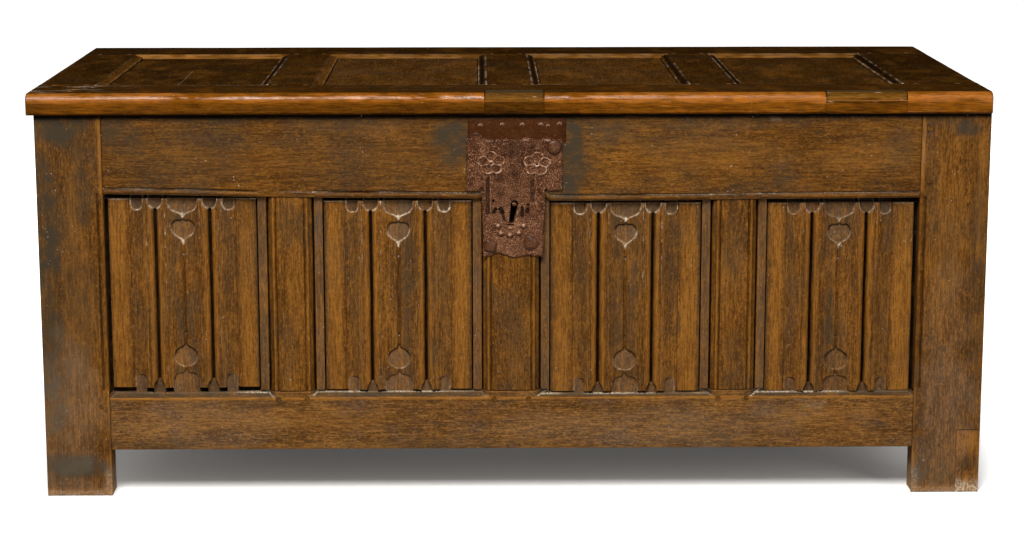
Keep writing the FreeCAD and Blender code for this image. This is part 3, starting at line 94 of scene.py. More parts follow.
class OakSettings(bpy.types.PropertyGroup):
    """Colours and grain of the oak."""
    dark: colour("Dark", "Dark of the waxed oak", 0.050, 0.0185, 0.0026)
    middle: colour("Middle", "Body colour of the waxed oak", 0.112, 0.0425, 0.0066)
    # Also used as painted highlight where the wear mark stands for light, as on the lid's back bevels.
    light: colour("Light", "Golden brown where hands have worn the oak", 0.235, 0.0960, 0.0150)
    # The worn edge's colour, laid on more strongly on its upper half as painted highlight.
    lid_glow: colour("Lid edge", "Orange brown of the lid's worn front edge", 0.270, 0.084, 0.0045)
    ruddy: colour("Ruddy", "Red-brown patches in the oak", 0.120, 0.036, 0.0060)
    # Soot, and also painted shade: this black is laid into deep gaps and channels, along the lid's edge and
    # on the carving's shadowed walls.
    soot: colour("Soot", "Black in the deepest recesses", 0.0030, 0.0018, 0.0011)
    wax: colour("Black wax", "Wax and soot in the recesses", 0.0090, 0.0050, 0.0026)
    haze: colour("Grey haze", "Grey-black bloom on the wax", 0.034, 0.0255, 0.0150)
    dust: colour("Dust", "Pale dust and old polish on the ledges", 0.52, 0.43, 0.32)
    bare: colour("Bare oak", "Scrubbed oak at the feet and on the inner boards", 0.235, 0.140, 0.062)
    wear: length("Wear", "Depth of the hollows that use has worn in the boards", 0.0005, 0, 0.003)
    arris: length("Arris", "Rounding of the boards' long edges", 0.0016, 0.0002, 0.006)
    mesh_step: length("Mesh step", "Distance between the points of a board's mesh", 0.006, 0.002, 0.02)


class CarvingSettings(bpy.types.PropertyGroup):
    """The linenfold carving."""
    cell: length("Cell", "Width of the mesh cells of the carving", 0.0012, 0.0006, 0.004)
    sink: length("Sink depth", "Face of the frame to the floor of the carved sinks", 0.0145, 0.008, 0.018)
    wall: length("Sink wall", "Width of the slope round the carved sinks", 0.0016, 0.0005, 0.004)
    dust: level("Dust", "Amount of pale dust on the carved edges", 1.0, 2)


class IronSettings(bpy.types.PropertyGroup):
    """Colours and pits of the iron."""
    rust: colour("Rust", "Body colour of the rusted plate", 0.053, 0.0158, 0.0034)
    bloom: colour("Bloom", "Pale rust on the raised parts", 0.200, 0.090, 0.044)
    # Also the colour of the painted highlights on the plate's bosses, raised parts and nail tops.
    pale: colour("Pale rust", "Brightest grains and rubbed edges", 0.46, 0.29, 0.20)
    pit: colour("Pits", "Dark in the pits", 0.026, 0.0080, 0.0028)
    smooth: colour("Smooth iron", "Smooth browned iron of the strip", 0.035, 0.0088, 0.0006)
    forged: colour("Forged iron", "Black forged iron of the hinges and the lock", 0.030, 0.022, 0.018)
    cell: length("Cell", "Width of the mesh cells of the lock plate", 0.0009, 0.0005, 0.003)


class StageSettings(bpy.types.PropertyGroup):
    """Floor, lamps and camera."""
    floor: level("Floor", "Grey value of the floor", 0.85)
    floor_bounce: level("Floor bounce", "Grey value with which the floor lights the coffer", 0.35)
    floor_lift: level("Floor lift", "Brightness added to the floor near the coffer", 0.06)
    key: level("Key lamp", "Power of the large lamp above the front", 270, 2000, "POWER")
    fill: level("Fill lamp", "Power of the lamp at the right", 60, 2000, "POWER")
    rear: level("Rear lamps", "Power of each low lamp behind the chest", 90, 2000, "POWER")
    sky: level("Room light", "Strength of the light from all round", 0.10, 3)


# --------------------------------------------------------------------------- repeatable noise

def lattice(cells, seed):
    """A repeatable random value, -1 to 1, for each whole-number place."""
    mixed = cells[:, 0] * 73856093 ^ cells[:, 1] * 19349663 ^ cells[:, 2] * 83492791 ^ (seed * 2654435)
    mixed = (mixed ^ (mixed >> 13)) * 60493 & 0x7FFFFFFF
    mixed = (mixed ^ (mixed >> 11)) * 19990303 & 0x7FFFFFFF
    return ((mixed ^ (mixed >> 15)) & 0xFFFF) / 32767.5 - 1


def lumps(points, size, seed):
    """Smooth noise, -1 to 1, with lumps about size across; size is a length or one for each axis."""
    scaled = points / np.broadcast_to(np.asarray(size, float), (3,))
    cells = np.floor(scaled).astype(np.int64)
    part = scaled - cells
    part = part * part * (3 - 2 * part)
    total = np.zeros(len(points))
    for corner in itertools.product((0, 1), repeat=3):
        side = np.array(corner)
        weight = np.prod(np.where(side, part, 1 - part), axis=1)
        total += weight * lattice(cells + side, seed)
    return total


def rough(points, size, seed, octaves=3):
    """Lumps with finer lumps on them, about -1 to 1."""
    total = np.zeros(len(points))
    for octave in range(octaves):
        share = 0.5 ** octave
        total += share * lumps(points, np.asarray(size, float) * share, seed + 17 * octave)
    return total / 1.6


def ramp(value, start, end):
    """0 below start, 1 above end, smooth between."""
    part = np.clip((value - start) / (end - start), 0, 1)
    return part * part * (3 - 2 * part)


def bump(value, width):
    """1 at nought, falling to nearly 0 at twice the width."""
    return np.exp(-(value / width) ** 2)


def outside(value, low, high):
    """How far a value lies outside low..high; below nought inside."""
    return np.maximum(low - value, value - high)


# --------------------------------------------------------------------------- meshes

# Marks laid on each mesh. The dark one holds dirt, wax and dark joints, and also painted shade in deep gaps
# and channels, under the lid's edge, under the top rail's bead, on the carved sinks' shadowed walls and under
# the plate's bosses. Wear and dust also carry some painted highlights.
MARKS = ("wear", "grime", "dust", "haze")


def new_mesh(name, vertices, faces, marks, smooth=35):
    """An object from arrays of vertices and faces, with its marks as attributes."""
    mesh = bpy.data.meshes.new(name)
    mesh.from_pydata(vertices.tolist(), [], faces)
    for mark in MARKS:
        layer = mesh.attributes.new(mark, "FLOAT", "POINT")
        if mark in marks:
            layer.data.foreach_set("value", np.clip(marks[mark], 0, 4).astype(np.float32))
    mesh.update()
    mesh.shade_smooth()
    mesh.set_sharp_from_angle(angle=math.radians(smooth))
    thing = bpy.data.objects.new(name, mesh)
    bpy.context.scene.collection.objects.link(thing)
    return thing


def finish_piece(thing, body, material, replaced):
    """Gives a piece its material, body and slot, and hides the nodes that it stands for."""
    thing.data.materials.append(material)
    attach(thing, body)
    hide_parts(*replaced)


def spaced(low, high, step, extra=()):
    """Places from low to high about step apart, closer near both ends, with the extra ones that fit."""
    fine = np.array((0.0, 0.0006, 0.0016))
    margin = 0.0035
    count = max(1, math.ceil((high - low - 2 * margin) / step))
    middle = np.linspace(low + margin, high - margin, count + 1)
    inside = [place for place in extra if low < place < high]
    return np.unique(np.round(np.concatenate([low + fine, middle, high - fine, inside]), 7))


def grid_faces(rows, columns, closed=False):
    """Quads of a grid whose vertices run along the columns first."""
    row = np.arange(rows - 1)[:, None] * columns
    column = np.arange(columns if closed else columns - 1)[None, :]
    following = (column + 1) % columns
    quads = np.stack([row + column, row + following, row + columns + following, row + columns + column],
                     axis=-1)
    return quads.reshape(-1, 4)


def merged(meshes):
    """Several (vertices, faces, marks) as one."""
    vertices, faces, marks = [], [], {mark: [] for mark in MARKS}
    start = 0
    for points, polygons, worn in meshes:
        vertices.append(points)
        faces += [[index + start for index in polygon] for polygon in polygons]
        for mark in MARKS:
            marks[mark].append(worn.get(mark, np.zeros(len(points))))
        start += len(points)
    return np.concatenate(vertices), faces, {mark: np.concatenate(marks[mark]) for mark in MARKS}


def rounding(edge, radius):
    """Depth of a rounded corner at a distance from the edge."""
    return np.where(edge < radius, radius - np.sqrt(np.maximum(radius ** 2 - (radius - edge) ** 2, 0)), 0)


def board(low, high, grain, face, seed, relief=None, marking=None, lines=(), stations=(), arris=None,
          end_wear=0.5, under=None, shave=None):
    """A board as (vertices, faces, marks).

    low and high are its corners, grain the axis that it runs along and face its show side, such as
    "-y". relief gives the depth below the show side at an array of points, marking its marks. lines
    and stations add mesh lines across and along the board.
    """
    oak_set = bpy.context.scene.coffer_oak
    step, wear = oak_set.mesh_step, oak_set.wear
    arris = arris or oak_set.arris
    low = np.asarray(low, float)
    high = np.asarray(high, float)
    deep = AXIS[face[1]]
    along = AXIS[grain]
    cross = 3 - deep - along
    inward = 1.0 if face[0] == "-" else -1.0
    surface = low[deep] if face[0] == "-" else high[deep]
    thickness = high[deep] - low[deep]
    across = spaced(low[cross], high[cross], step, lines)
    places = spaced(low[along], high[along], step, stations)
    soft = min(under or arris, thickness / 4)
    side = np.linspace(0, thickness - soft, max(3, math.ceil(thickness / (2 * step)) + 2))[1:]
    back = np.linspace(high[cross] - soft, low[cross] + soft,
                       max(2, math.ceil((high[cross] - low[cross]) / (3 * step))))
    counts = (len(across), len(side), len(back), len(side))
    ring_cross = np.concatenate([across, np.full(len(side), high[cross]), back,
                                 np.full(len(side), low[cross])])
    ring_deep = np.concatenate([np.zeros(len(across)), side, np.full(len(back), thickness), side[::-1]])
    rows, columns = len(places), len(ring_cross)
    points = np.zeros((rows * columns, 3))
    points[:, cross] = np.tile(ring_cross, rows)
    points[:, along] = np.repeat(places, columns)
    points[:, deep] = surface
    depth = np.tile(ring_deep, rows)
    shown = np.tile(np.repeat((1.0, 0.0, 0.0, 0.0), counts), rows)
    on_side = np.tile(np.repeat((0.0, 1.0, 0.0, -1.0), counts), rows)

    edge = np.minimum(points[:, cross] - low[cross], high[cross] - points[:, cross])
    end = np.minimum(points[:, along] - low[along], high[along] - points[:, along])
    round_edge = rounding(edge, arris)
    round_end = rounding(end, arris * end_wear)
    grain_size = np.full(3, 0.030)
    grain_size[along] = 0.160
    hollows = (rough(points, grain_size, seed) + 1) / 2 * wear
    fine_size = np.full(3, 0.0035)
    fine_size[along] = 0.05
    hollows += (lumps(points, fine_size, seed + 5) + 1) / 2 * wear * 0.30
    drawn_depth = round_edge + round_end + hollows
    if relief is not None:
        cut = relief(points)
        drawn_depth = (np.maximum(cut, 0) + hollows * np.exp(-cut / (4 * MM)) + round_end
                       + round_edge * (cut < 0.2 * MM))
    show_depth = np.minimum(drawn_depth, thickness * 0.9)
    table = show_depth.reshape(rows, columns)
    reach = thickness - soft
    for way, edge_depth in ((1, table[:, len(across) - 1]), (-1, table[:, 0])):
        start = np.repeat(edge_depth, columns)
        depth = np.where(on_side == way, start + depth / reach * (reach - start), depth)
    depth = np.where(shown > 0, show_depth, depth)
    marks = {mark: np.zeros(len(points)) for mark in MARKS}
    if marking is not None:
        placed = points.copy()
        placed[:, deep] = surface + inward * depth
        marks.update(marking(placed, drawn_depth))
    narrower = hollows * np.clip(depth / (4 * MM), 0, 1)
    if shave is not None:
        narrower = narrower + shave(points)
    points[:, cross] -= on_side * narrower
    rim = bump(edge, 2.2 * MM) * shown
    marks["wear"] = marks["wear"] + rim * (0.55 + 0.45 * lumps(points, 0.02, seed + 9))
    marks["grime"] = marks["grime"] + bump(end, 1.3 * MM) * 0.9 * shown
    points[:, deep] = surface + inward * depth

    faces = grid_faces(rows, columns, closed=True).tolist()
    faces.append(list(range(columns))[::-1])
    faces.append(list(range((rows - 1) * columns, rows * columns)))
    turned = (cross, along, deep) in ((0, 1, 2), (1, 2, 0), (2, 0, 1))
    if turned == (inward > 0):
        faces = [polygon[::-1] for polygon in faces]
    return points, faces, marks


def dome(centre, radius, height, seed, square=0.0, turn=0.0, dent=0.08, ripple=0.0, sides=24, rings=7):
    """A forged nail head on the front as (vertices, faces, marks): round, or square for square 1."""
    angles = np.arange(sides) * 2 * math.pi / sides
    corner = 1 / np.maximum(np.abs(np.cos(angles)), np.abs(np.sin(angles)))
    reach = 1 + square * (np.minimum(corner, 1.30) - 1)
    circles = []
    for tilt in np.linspace(0, 0.94, rings) * math.pi / 2:
        size = radius * math.cos(tilt) ** (0.9 if square else 0.85)
        lift = height * math.sin(tilt) ** (0.62 if square else 0.9)
        lift -= ripple * (0.5 - 0.5 * math.cos(size / radius * 4 * math.pi))
        circles.append(np.stack([np.cos(angles + turn) * size * reach, np.full(sides, -max(lift, 0)),
                                 np.sin(angles + turn) * size * reach], axis=1))
    points = np.concatenate(circles + [np.array([[0, -height, 0]])])
    centre = np.asarray(centre)
    uneven = 1 + dent * lumps(points + centre * 7, radius * 0.6, seed)
    raised = np.abs(points[:, 1]) / height
    points[:, ::2] *= uneven[:, None]
    points[:, 1] *= np.where(raised > 0.05, uneven - dent * 1.5, 1)
    faces = grid_faces(rings, sides, closed=True).tolist()
    last = (rings - 1) * sides
    faces += [[last + step, last + (step + 1) % sides, rings * sides] for step in range(sides)]
    faces.append(list(range(sides))[::-1])
    return points + centre, faces, {"wear": 0.4 * raised ** 3, "grime": 0.9 * (1 - raised) ** 4}


def sheet(low, high, cell, outline, height, marking, back=0.6 * MM):
    """An iron sheet on the front as (vertices, faces, marks).

    low and high are its corners as (x, z). outline gives the distance outside its edge, height how far
    it stands on the wood, and marking its marks, each at arrays of x and z.
    """
    columns = np.arange(low[0], high[0] + cell, cell)
    rows = np.arange(low[1], high[1] + cell, cell)
    x, z = (grid.ravel() for grid in np.meshgrid(columns, rows))
    cells = grid_faces(len(rows), len(columns))
    cells = cells[outline(x[cells].mean(axis=1), z[cells].mean(axis=1)) < 0]
    used, cells = np.unique(cells, return_inverse=True)
    cells = cells.reshape(-1, 4)
    x, z = x[used], z[used]
    edges = np.concatenate([cells[:, [side, (side + 1) % 4]] for side in range(4)])
    ordered = np.sort(edges, axis=1)
    _, where, count = np.unique(ordered[:, 0] * len(x) + ordered[:, 1], return_index=True, return_counts=True)
    border = edges[where[count == 1]]
    rim = np.unique(border)
    small = 0.05 * MM
    for _ in range(3):
        away = outline(x[rim], z[rim])
        slope_x = (outline(x[rim] + small, z[rim]) - outline(x[rim] - small, z[rim])) / (2 * small)
        slope_z = (outline(x[rim], z[rim] + small) - outline(x[rim], z[rim] - small)) / (2 * small)
        steep = np.maximum(slope_x ** 2 + slope_z ** 2, 0.3)
        x[rim] -= np.clip(away * slope_x / steep, -cell / 2, cell / 2)
        z[rim] -= np.clip(away * slope_z / steep, -cell / 2, cell / 2)
    total = len(x)
    front = np.stack([x, FRONT - np.maximum(height(x, z), 0.3 * MM), z], axis=1)
    behind = np.stack([x, np.full(total, FRONT + back), z], axis=1)
    walls = np.stack([border[:, 0], border[:, 0] + total, border[:, 1] + total, border[:, 1]], axis=1)
    faces = cells.tolist() + (cells[:, ::-1] + total).tolist() + walls.tolist()
    return np.concatenate([front, behind]), faces, {
        mark: np.concatenate([worn, worn]) for mark, worn in marking(x, z).items()}


# --------------------------------------------------------------------------- materials

class Recipe:
    """Adds nodes to the cleared node tree of a material or world, one named step after another."""

    def __init__(self, owner):
        owner.use_nodes = True
        self.tree = owner.node_tree
        self.tree.nodes.clear()

    def node(self, kind, inputs=(), **settings):
        made = self.tree.nodes.new(kind)
        for key, value in settings.items():
            setattr(made, key, value)
        for key, value in dict(inputs).items():
            self.feed(made.inputs[key], value)
        return made

    def feed(self, socket, value):
        if isinstance(value, bpy.types.NodeSocket):
            self.tree.links.new(value, socket)
        elif isinstance(value, (tuple, list)) and len(value) == 3 and socket.type == "RGBA":
            socket.default_value = (*value, 1)
        else:
            socket.default_value = value

    def vector(self, operation, first, second=(0, 0, 0)):
        return self.node("ShaderNodeVectorMath", {0: first, 1: second}, operation=operation).outputs["Vector"]

    def math(self, operation, first, second=0.0):
        return self.node("ShaderNodeMath", {0: first, 1: second}, operation=operation).outputs["Value"]

    def between(self, value, start, end, low=0.0, high=1.0):
        """value mapped from start..end to low..high, held at both ends."""
        return self.node("ShaderNodeMapRange", {
            "Value": value, "From Min": start, "From Max": end, "To Min": low, "To Max": high,
        }).outputs["Result"]

    def blend(self, factor, first, second, mode="MIX"):
        inputs = {"Factor": factor, "A": first, "B": second}
        return self.node("ShaderNodeMix", inputs, data_type="RGBA", blend_type=mode).outputs["Result"]


class Surface(Recipe):
    """Builds the surface material of that name."""

    def __init__(self, name):
        self.material = bpy.data.materials.new(name)
        super().__init__(self.material)
        output = self.node("ShaderNodeOutputMaterial")
        self.shader = self.node("ShaderNodeBsdfPrincipled")
        self.feed(output.inputs["Surface"], self.shader.outputs["BSDF"])
        self.place = self.node("ShaderNodeTexCoord").outputs["Object"]

    def stretch(self, scale, shift=(0, 0, 0)):
        """Object coordinates, scaled so that a texture of size 1 repeats 1 / scale metres apart."""
        scale = (scale,) * 3 if isinstance(scale, (int, float)) else scale
        inputs = {"Vector": self.place, "Scale": scale, "Location": shift}
        return self.node("ShaderNodeMapping", inputs).outputs["Vector"]

    def own(self, name, output):
        """A value that the piece itself carries, such as its tone."""
        return self.node("ShaderNodeAttribute", attribute_type="OBJECT", attribute_name=name).outputs[output]

    def mark(self, name):
        return self.node("ShaderNodeAttribute", attribute_name=name).outputs["Fac"]

    def noise(self, vector, detail=3.0, roughness=0.55, distortion=0.0):
        return self.node("ShaderNodeTexNoise", {
            "Vector": vector, "Scale": 1.0, "Detail": detail, "Roughness": roughness,
            "Distortion": distortion,
        }).outputs["Fac"]

    def cells(self, vector, feature="F1"):
        inputs = {"Vector": vector, "Scale": 1.0}
        return self.node("ShaderNodeTexVoronoi", inputs, feature=feature).outputs["Distance"]

    def patchy(self, mark, value, start, end, low, high=1.0):
        """A mark that comes and goes with a texture."""
        return self.math("MULTIPLY", self.mark(mark), self.between(value, start, end, low, high))

    def coats(self, base, *coats):
        """Colours laid over a base, each where its value runs from start to end, up to a share."""
        for value, start, end, share, coat in coats:
            base = self.blend(self.between(value, start, end, 0.0, share), base, coat)
        return base

    def relief(self, *heights):
        """Bumps from textures, each with a strength and a distance."""
        under = {}
        for height, strength, distance in heights:
            inputs = {"Height": height, "Strength": strength, "Distance": distance, **under}
            under = {"Normal": self.node("ShaderNodeBump", inputs).outputs["Normal"]}
        return under["Normal"]

    def finish(self, **inputs):
        for name, value in inputs.items():
            self.feed(self.shader.inputs[name.replace("_", " ")], value)
        return self.material


def oak(name, grain, glow=False, bare=0.0, gloss=0.42, speck=1.0, shine=0.045):
    """Old oak with open grain, ray flecks, wax in the recesses and dust on the ledges."""
    oak_set = bpy.context.scene.coffer_oak
    surface = Surface(name)
    move = surface.own("shift", "Vector")

    def field(across, along, offset=0.0, detail=3.0, roughness=0.55, distortion=0.0):
        """Noise with lumps across by along the grain, in metres, moved by the piece's own shift."""
        spot = surface.vector("ADD", move, (offset,) * 3)
        scale = [1 / across] * 3
        scale[AXIS[grain]] = 1 / along
        return surface.noise(surface.stretch(scale, spot), detail, roughness, distortion)

    figure = field(0.012, 0.14, 0.0, 3.0, 0.6, 0.8)
    streaks = field(0.0022, 0.030, 3.1, 3.0, 0.65)
    pores = field(0.0010, 0.0065, 7.7, 2.0, 0.6)
    flecks = field(0.0022, 0.0048, 11.3, 2.0, 0.5, 0.4)
    mottle = field(0.0045, 0.0080, 41.0, 4.0, 0.75)
    patina = field(0.060, 0.110, 17.9, 4.0, 0.6)
    warmth = field(0.040, 0.120, 23.1, 3.0, 0.55)
    blots = field(0.018, 0.026, 31.7, 4.0, 0.65)

    dark, light, haze, dust = (tuple(getattr(oak_set, key)) for key in ("dark", "light", "haze", "dust"))
    base = surface.coats(
        dark,
        (figure, 0.32, 0.66, 1.0, tuple(oak_set.middle)),
        (warmth, 0.44, 0.72, 0.60, light),
        (blots, 0.52, 0.70, 0.40, tuple(oak_set.ruddy)),
        (mottle, 0.50, 0.36, 0.78, dark),
        (mottle, 0.53, 0.68, 0.60, light),
        (streaks, 0.50, 0.35, 0.72, dark),
        (streaks, 0.53, 0.67, 0.55, light))
    if bare:
        base = surface.blend(bare, base, tuple(oak_set.bare))
    base = surface.coats(
        base,
        (patina, 0.50, 0.34, 0.45, haze),
        (flecks, 0.55, 0.72, 0.60, light),
        (pores, 0.47, 0.32, 0.75, tuple(oak_set.wax)))
    base = surface.blend(1.0, base, surface.own("tone", "Color"), "MULTIPLY")

    wear = surface.mark("wear")
    worn = surface.math("MULTIPLY", wear, surface.between(streaks, 0.35, 0.60, 0.35, 1.0))
    # The dark mark lays soot over dirt and wax, and also as painted shade in deep gaps and channels and on
    # shadowed walls.
    grime = surface.patchy("grime", blots, 0.30, 0.62, 0.75, 1.15)
    base = surface.coats(
        base,
        (worn, 0.0, 1.5, 0.92, tuple(oak_set.lid_glow) if glow else light),
        (surface.patchy("haze", blots, 0.38, 0.60, 0.45), 0.0, 1.0, 0.94, haze),
        (grime, 0.0, 1.0, 0.97, tuple(oak_set.soot)))

    specks = surface.cells(surface.stretch(135, move))
    sparse = surface.noise(surface.stretch(34, move), 4.0, 0.7)
    dots = surface.math("MULTIPLY", surface.between(specks, 0.20, 0.09), surface.between(sparse, 0.56, 0.72))
    base = surface.blend(surface.math("MULTIPLY", dots, 0.55 * speck), base, dust)
    powder = surface.noise(surface.stretch(330, move), 2.0, 0.6)
    dusty = surface.patchy("dust", powder, 0.36, 0.60, 0.25)
    base = surface.coats(
        base,
        (surface.patchy("dust", blots, 0.36, 0.60, 0.6, 1.1), 0.02, 0.50, 0.115, dust),
        (dusty, 0.32, 1.0, 0.85, dust))

    dulled = surface.math("ADD", surface.between(patina, 0.3, 0.7, gloss + 0.10, gloss - 0.06),
                          surface.between(surface.math("ADD", dusty, grime), 0.0, 1.0, 0.0, 0.30))
    dulled = surface.math("ADD", dulled, surface.between(pores, 0.45, 0.32, 0.0, 0.16))
    normal = surface.relief((pores, 0.40, 0.0006), (streaks, 0.35, 0.0012), (blots, 0.25, 0.0012))
    if glow:
        shine = surface.between(wear, 0.9, 1.6, 0.0, shine)
    return surface.finish(Base_Color=base, Roughness=dulled, Normal=normal, Specular_IOR_Level=shine)


def rusted_iron(name, bloom=1.0, pits=1.0, smooth=0.0, glint=0.07):
    """Iron plate gone red-brown, pitted all over, paler on what stands up."""
    iron_set = bpy.context.scene.coffer_iron
    surface = Surface(name)
    coarse = surface.noise(surface.stretch(60), 4.0, 0.7)
    grit = surface.noise(surface.stretch(500), 3.0, 0.8)
    sand = surface.noise(surface.stretch(900), 2.0, 0.6)
    warm, pit, pale = tuple(iron_set.bloom), tuple(iron_set.pit), tuple(iron_set.pale)
    base = surface.coats(
        tuple(iron_set.smooth if smooth else iron_set.rust),
        (coarse, 0.46, 0.62, 0.42 * bloom, warm),
        (coarse, 0.50, 0.36, 0.65 * pits, pit))
    # The wear and dust marks also carry painted highlights here: on the bosses' crowns, the upper sides of
    # raised parts and the tops of the strip's nails.
    base = surface.blend(surface.math("MULTIPLY", surface.mark("wear"), 0.55), base, warm)
    base = surface.coats(
        base,
        (grit, 0.54, 0.62, 0.80 * bloom, warm),
        (grit, 0.61, 0.68, 0.95 * bloom, pale),
        (grit, 0.50, 0.41, 0.97 * pits, pit),
        (sand, 0.46, 0.32, 0.55 * pits, pit),
        (surface.mark("grime"), 0.0, 1.0, 0.95, tuple(0.35 * value for value in pit)),
        (surface.patchy("dust", sand, 0.35, 0.60, 0.4), 0.0, 1.0, 0.80, pale))
    dull = surface.between(grit, 0.35, 0.65, 0.66 - 0.26 * smooth, 0.46 - 0.20 * smooth)
    normal = surface.relief((grit, 0.55 * pits, 0.0010), (sand, 0.40 * pits, 0.0005))
    return surface.finish(Base_Color=base, Roughness=dull, Normal=normal, Specular_IOR_Level=glint)


def forged_iron(name):
    """Black hammered iron with rust coming through."""
    iron_set = bpy.context.scene.coffer_iron
    surface = Surface(name)
    hammer = surface.cells(surface.stretch(75), "SMOOTH_F1")
    grit = surface.noise(surface.stretch(420), 3.0, 0.65)
    patch = surface.noise(surface.stretch(38), 4.0, 0.6)
    base = surface.coats(
        tuple(iron_set.forged),
        (patch, 0.48, 0.66, 0.75, tuple(iron_set.rust)),
        (grit, 0.44, 0.30, 0.8, tuple(iron_set.pit)))
    base = surface.blend(surface.math("MULTIPLY", surface.mark("wear"), 0.35), base, (0.20, 0.16, 0.14))
    normal = surface.relief((hammer, 0.35, 0.0020), (grit, 0.35, 0.0006))
    return surface.finish(Base_Color=base, Roughness=surface.between(grit, 0.35, 0.65, 0.58, 0.38),
                          Normal=normal, Metallic=0.75)


def material(name, make, *details, **more):
    """The material of that name, made on its first use."""
    return bpy.data.materials.get(name) or make(name, *details, **more)


# --------------------------------------------------------------------------- oak pieces

OAK_LOOKS = {
    "front": {},
    "lid_edge": {"glow": True, "gloss": 0.27, "speck": 0.6, "shine": 0.34},
    "lid": {"gloss": 0.36, "speck": 0.2, "shine": 0.0},
    "patch": {"gloss": 0.40, "shine": 0.0},
    "side": {"bare": 0.18, "gloss": 0.52},
    "floor": {"bare": 0.75, "gloss": 0.72, "speck": 0.4},
}


def oak_material(kind, grain):
    """One of the oak finishes, with its grain along an axis."""
    return material(f"oak_{kind}_{grain}", oak, grain, **OAK_LOOKS[kind])


def own_tone(thing, tone, shift):
    """Gives a piece its own colour factor and its own place in the grain textures."""
    thing["tone"] = tone
    thing["shift"] = shift


def oak_piece(name, meshes, kind, grain, tone, shift):
    """An oak piece from one or more boards, standing for the node of its name."""
    thing = new_mesh(name, *merged(meshes))
    own_tone(thing, tone if isinstance(tone, tuple) else (float(tone),) * 3, float(shift))
    body = "lid" if name.startswith("lid_") else "carcase"
    finish_piece(thing, body, oak_material(kind, grain), [name])


# --------------------------------------------------------------------------- the front's frame

# The lines of the openings and the rim, in mm, for the marks.
FOOT_MM, HEAD_MM, RIM_MM, FRONT_MM = (value / MM for value in (OPENING_FOOT, OPENING_HEAD, RIM, FRONT))


def cut_box(name, **spans):
    """A node's box, cut to the given spans along x, y or z, so that its tenons are left out."""
    low, high = node_box(name)
    for axis, (start, end) in spans.items():
        low[AXIS[axis]], high[AXIS[axis]] = start, end
    return low, high


def at_least(marks, name, value):
    marks[name] = np.maximum(marks[name], value)


def flat_noise(x, z, size, seed):
    """Rough noise over the front, at arrays of x and z in metres."""
    return rough(np.stack([x, x * 0, z], axis=1), size, seed)


def arch(distance, start, width, drop, rise):
    """Depth of a bead: drop at its crown and drop + rise at its edges; nought beside it."""
    place = (distance - start - width / 2) / (width / 2)
    return np.where(np.abs(place) < 1, drop + rise * place ** 2, 0)


def vee(distance, middle, half, depth):
    """Depth of a groove with sloping sides."""
    return depth * np.clip(1 - np.abs(distance - middle) / half, 0, 1)


def blots(points, spots, seed):
    """Soft-edged patches; each spot is x, z, half width, half height (all in mm) and strength."""
    x, z = points[:, 0] / MM, points[:, 2] / MM
    total = np.zeros(len(x))
    ragged = 1 + 0.45 * flat_noise(points[:, 0], points[:, 2], 0.045, seed)
    for spot_x, spot_z, half_wide, half_high, strength in spots:
        away = np.hypot((x - spot_x) / half_wide, (z - spot_z) / half_high)
        total = np.maximum(total, strength * ramp(away * ragged, 1.15, 0.45))
    return total


FRONT_HAZE = (
    (-705, 600, 66, 50, 1.3), (-660, 575, 24, 40, 0.45), (-732, 430, 28, 200, 1.05),
    (-730, 230, 28, 160, 0.85), (-672, 480, 12, 60, 0.6), (-615, 585, 50, 40, 0.75),
    (-480, 612, 110, 14, 0.6), (-250, 606, 140, 18, 0.6),
    (-350, 572, 60, 14, 0.35), (-90, 574, 46, 56, 1.1), (92, 556, 32, 84, 1.2), (150, 590, 60, 40, 0.7),
    (430, 520, 26, 20, 0.6), (300, 600, 240, 10, 0.5), (420, 610, 160, 12, 0.5), (610, 560, 30, 40, 0.4),
    (-352, 440, 20, 60, 0.45), (-352, 240, 14, 60, 0.35), (354, 420, 20, 80, 0.45), (354, 220, 16, 50, 0.3),
    (0, 300, 26, 60, 0.30), (-560, 84, 100, 12, 0.45), (-120, 84, 140, 11, 0.45), (330, 84, 140, 11, 0.40),
    (-440, 150, 120, 8, 0.3), (742, 330, 14, 220, 0.55), (700, 606, 56, 12, 0.6), (665, 470, 10, 80, 0.4),
    (716, 594, 34, 24, 1.1), (-704, 50, 62, 22, 1.4), (-520, 545, 130, 70, 0.40), (-235, 545, 140, 60, 0.26),
    (-700, 330, 60, 170, 0.40),
)
FRONT_FILM = (
    (600, 545, 70, 40, 0.8), (520, 600, 120, 16, 0.7), (-300, 590, 160, 20, 0.5), (-500, 120, 180, 40, 0.5),
    (200, 110, 300, 44, 0.6), (690, 250, 40, 160, 0.5), (690, 60, 60, 60, 0.8), (-700, 18, 50, 16, 0.9),
    (-700, 150, 60, 130, 0.9), (-700, 60, 60, 40, 0.9), (700, 150, 60, 130, 0.9), (-130, 540, 40, 40, 0.5),
)
FRONT_GLOW = (
    (-690, 450, 14, 90, 0.9), (-680, 300, 24, 120, 0.9), (-690, 180, 30, 110, 0.6),
    (-400, 545, 150, 26, 0.55), (-200, 550, 90, 22, 0.5), (300, 552, 130, 28, 0.8), (560, 548, 80, 26, 0.6),
    (-350, 124, 220, 22, 0.5), (80, 128, 120, 20, 0.4), (480, 124, 130, 24, 0.6), (690, 400, 34, 140, 0.8),
    (-340, 340, 14, 90, 0.7), (346, 280, 14, 90, 0.6), (0, 220, 20, 40, 0.4),
)


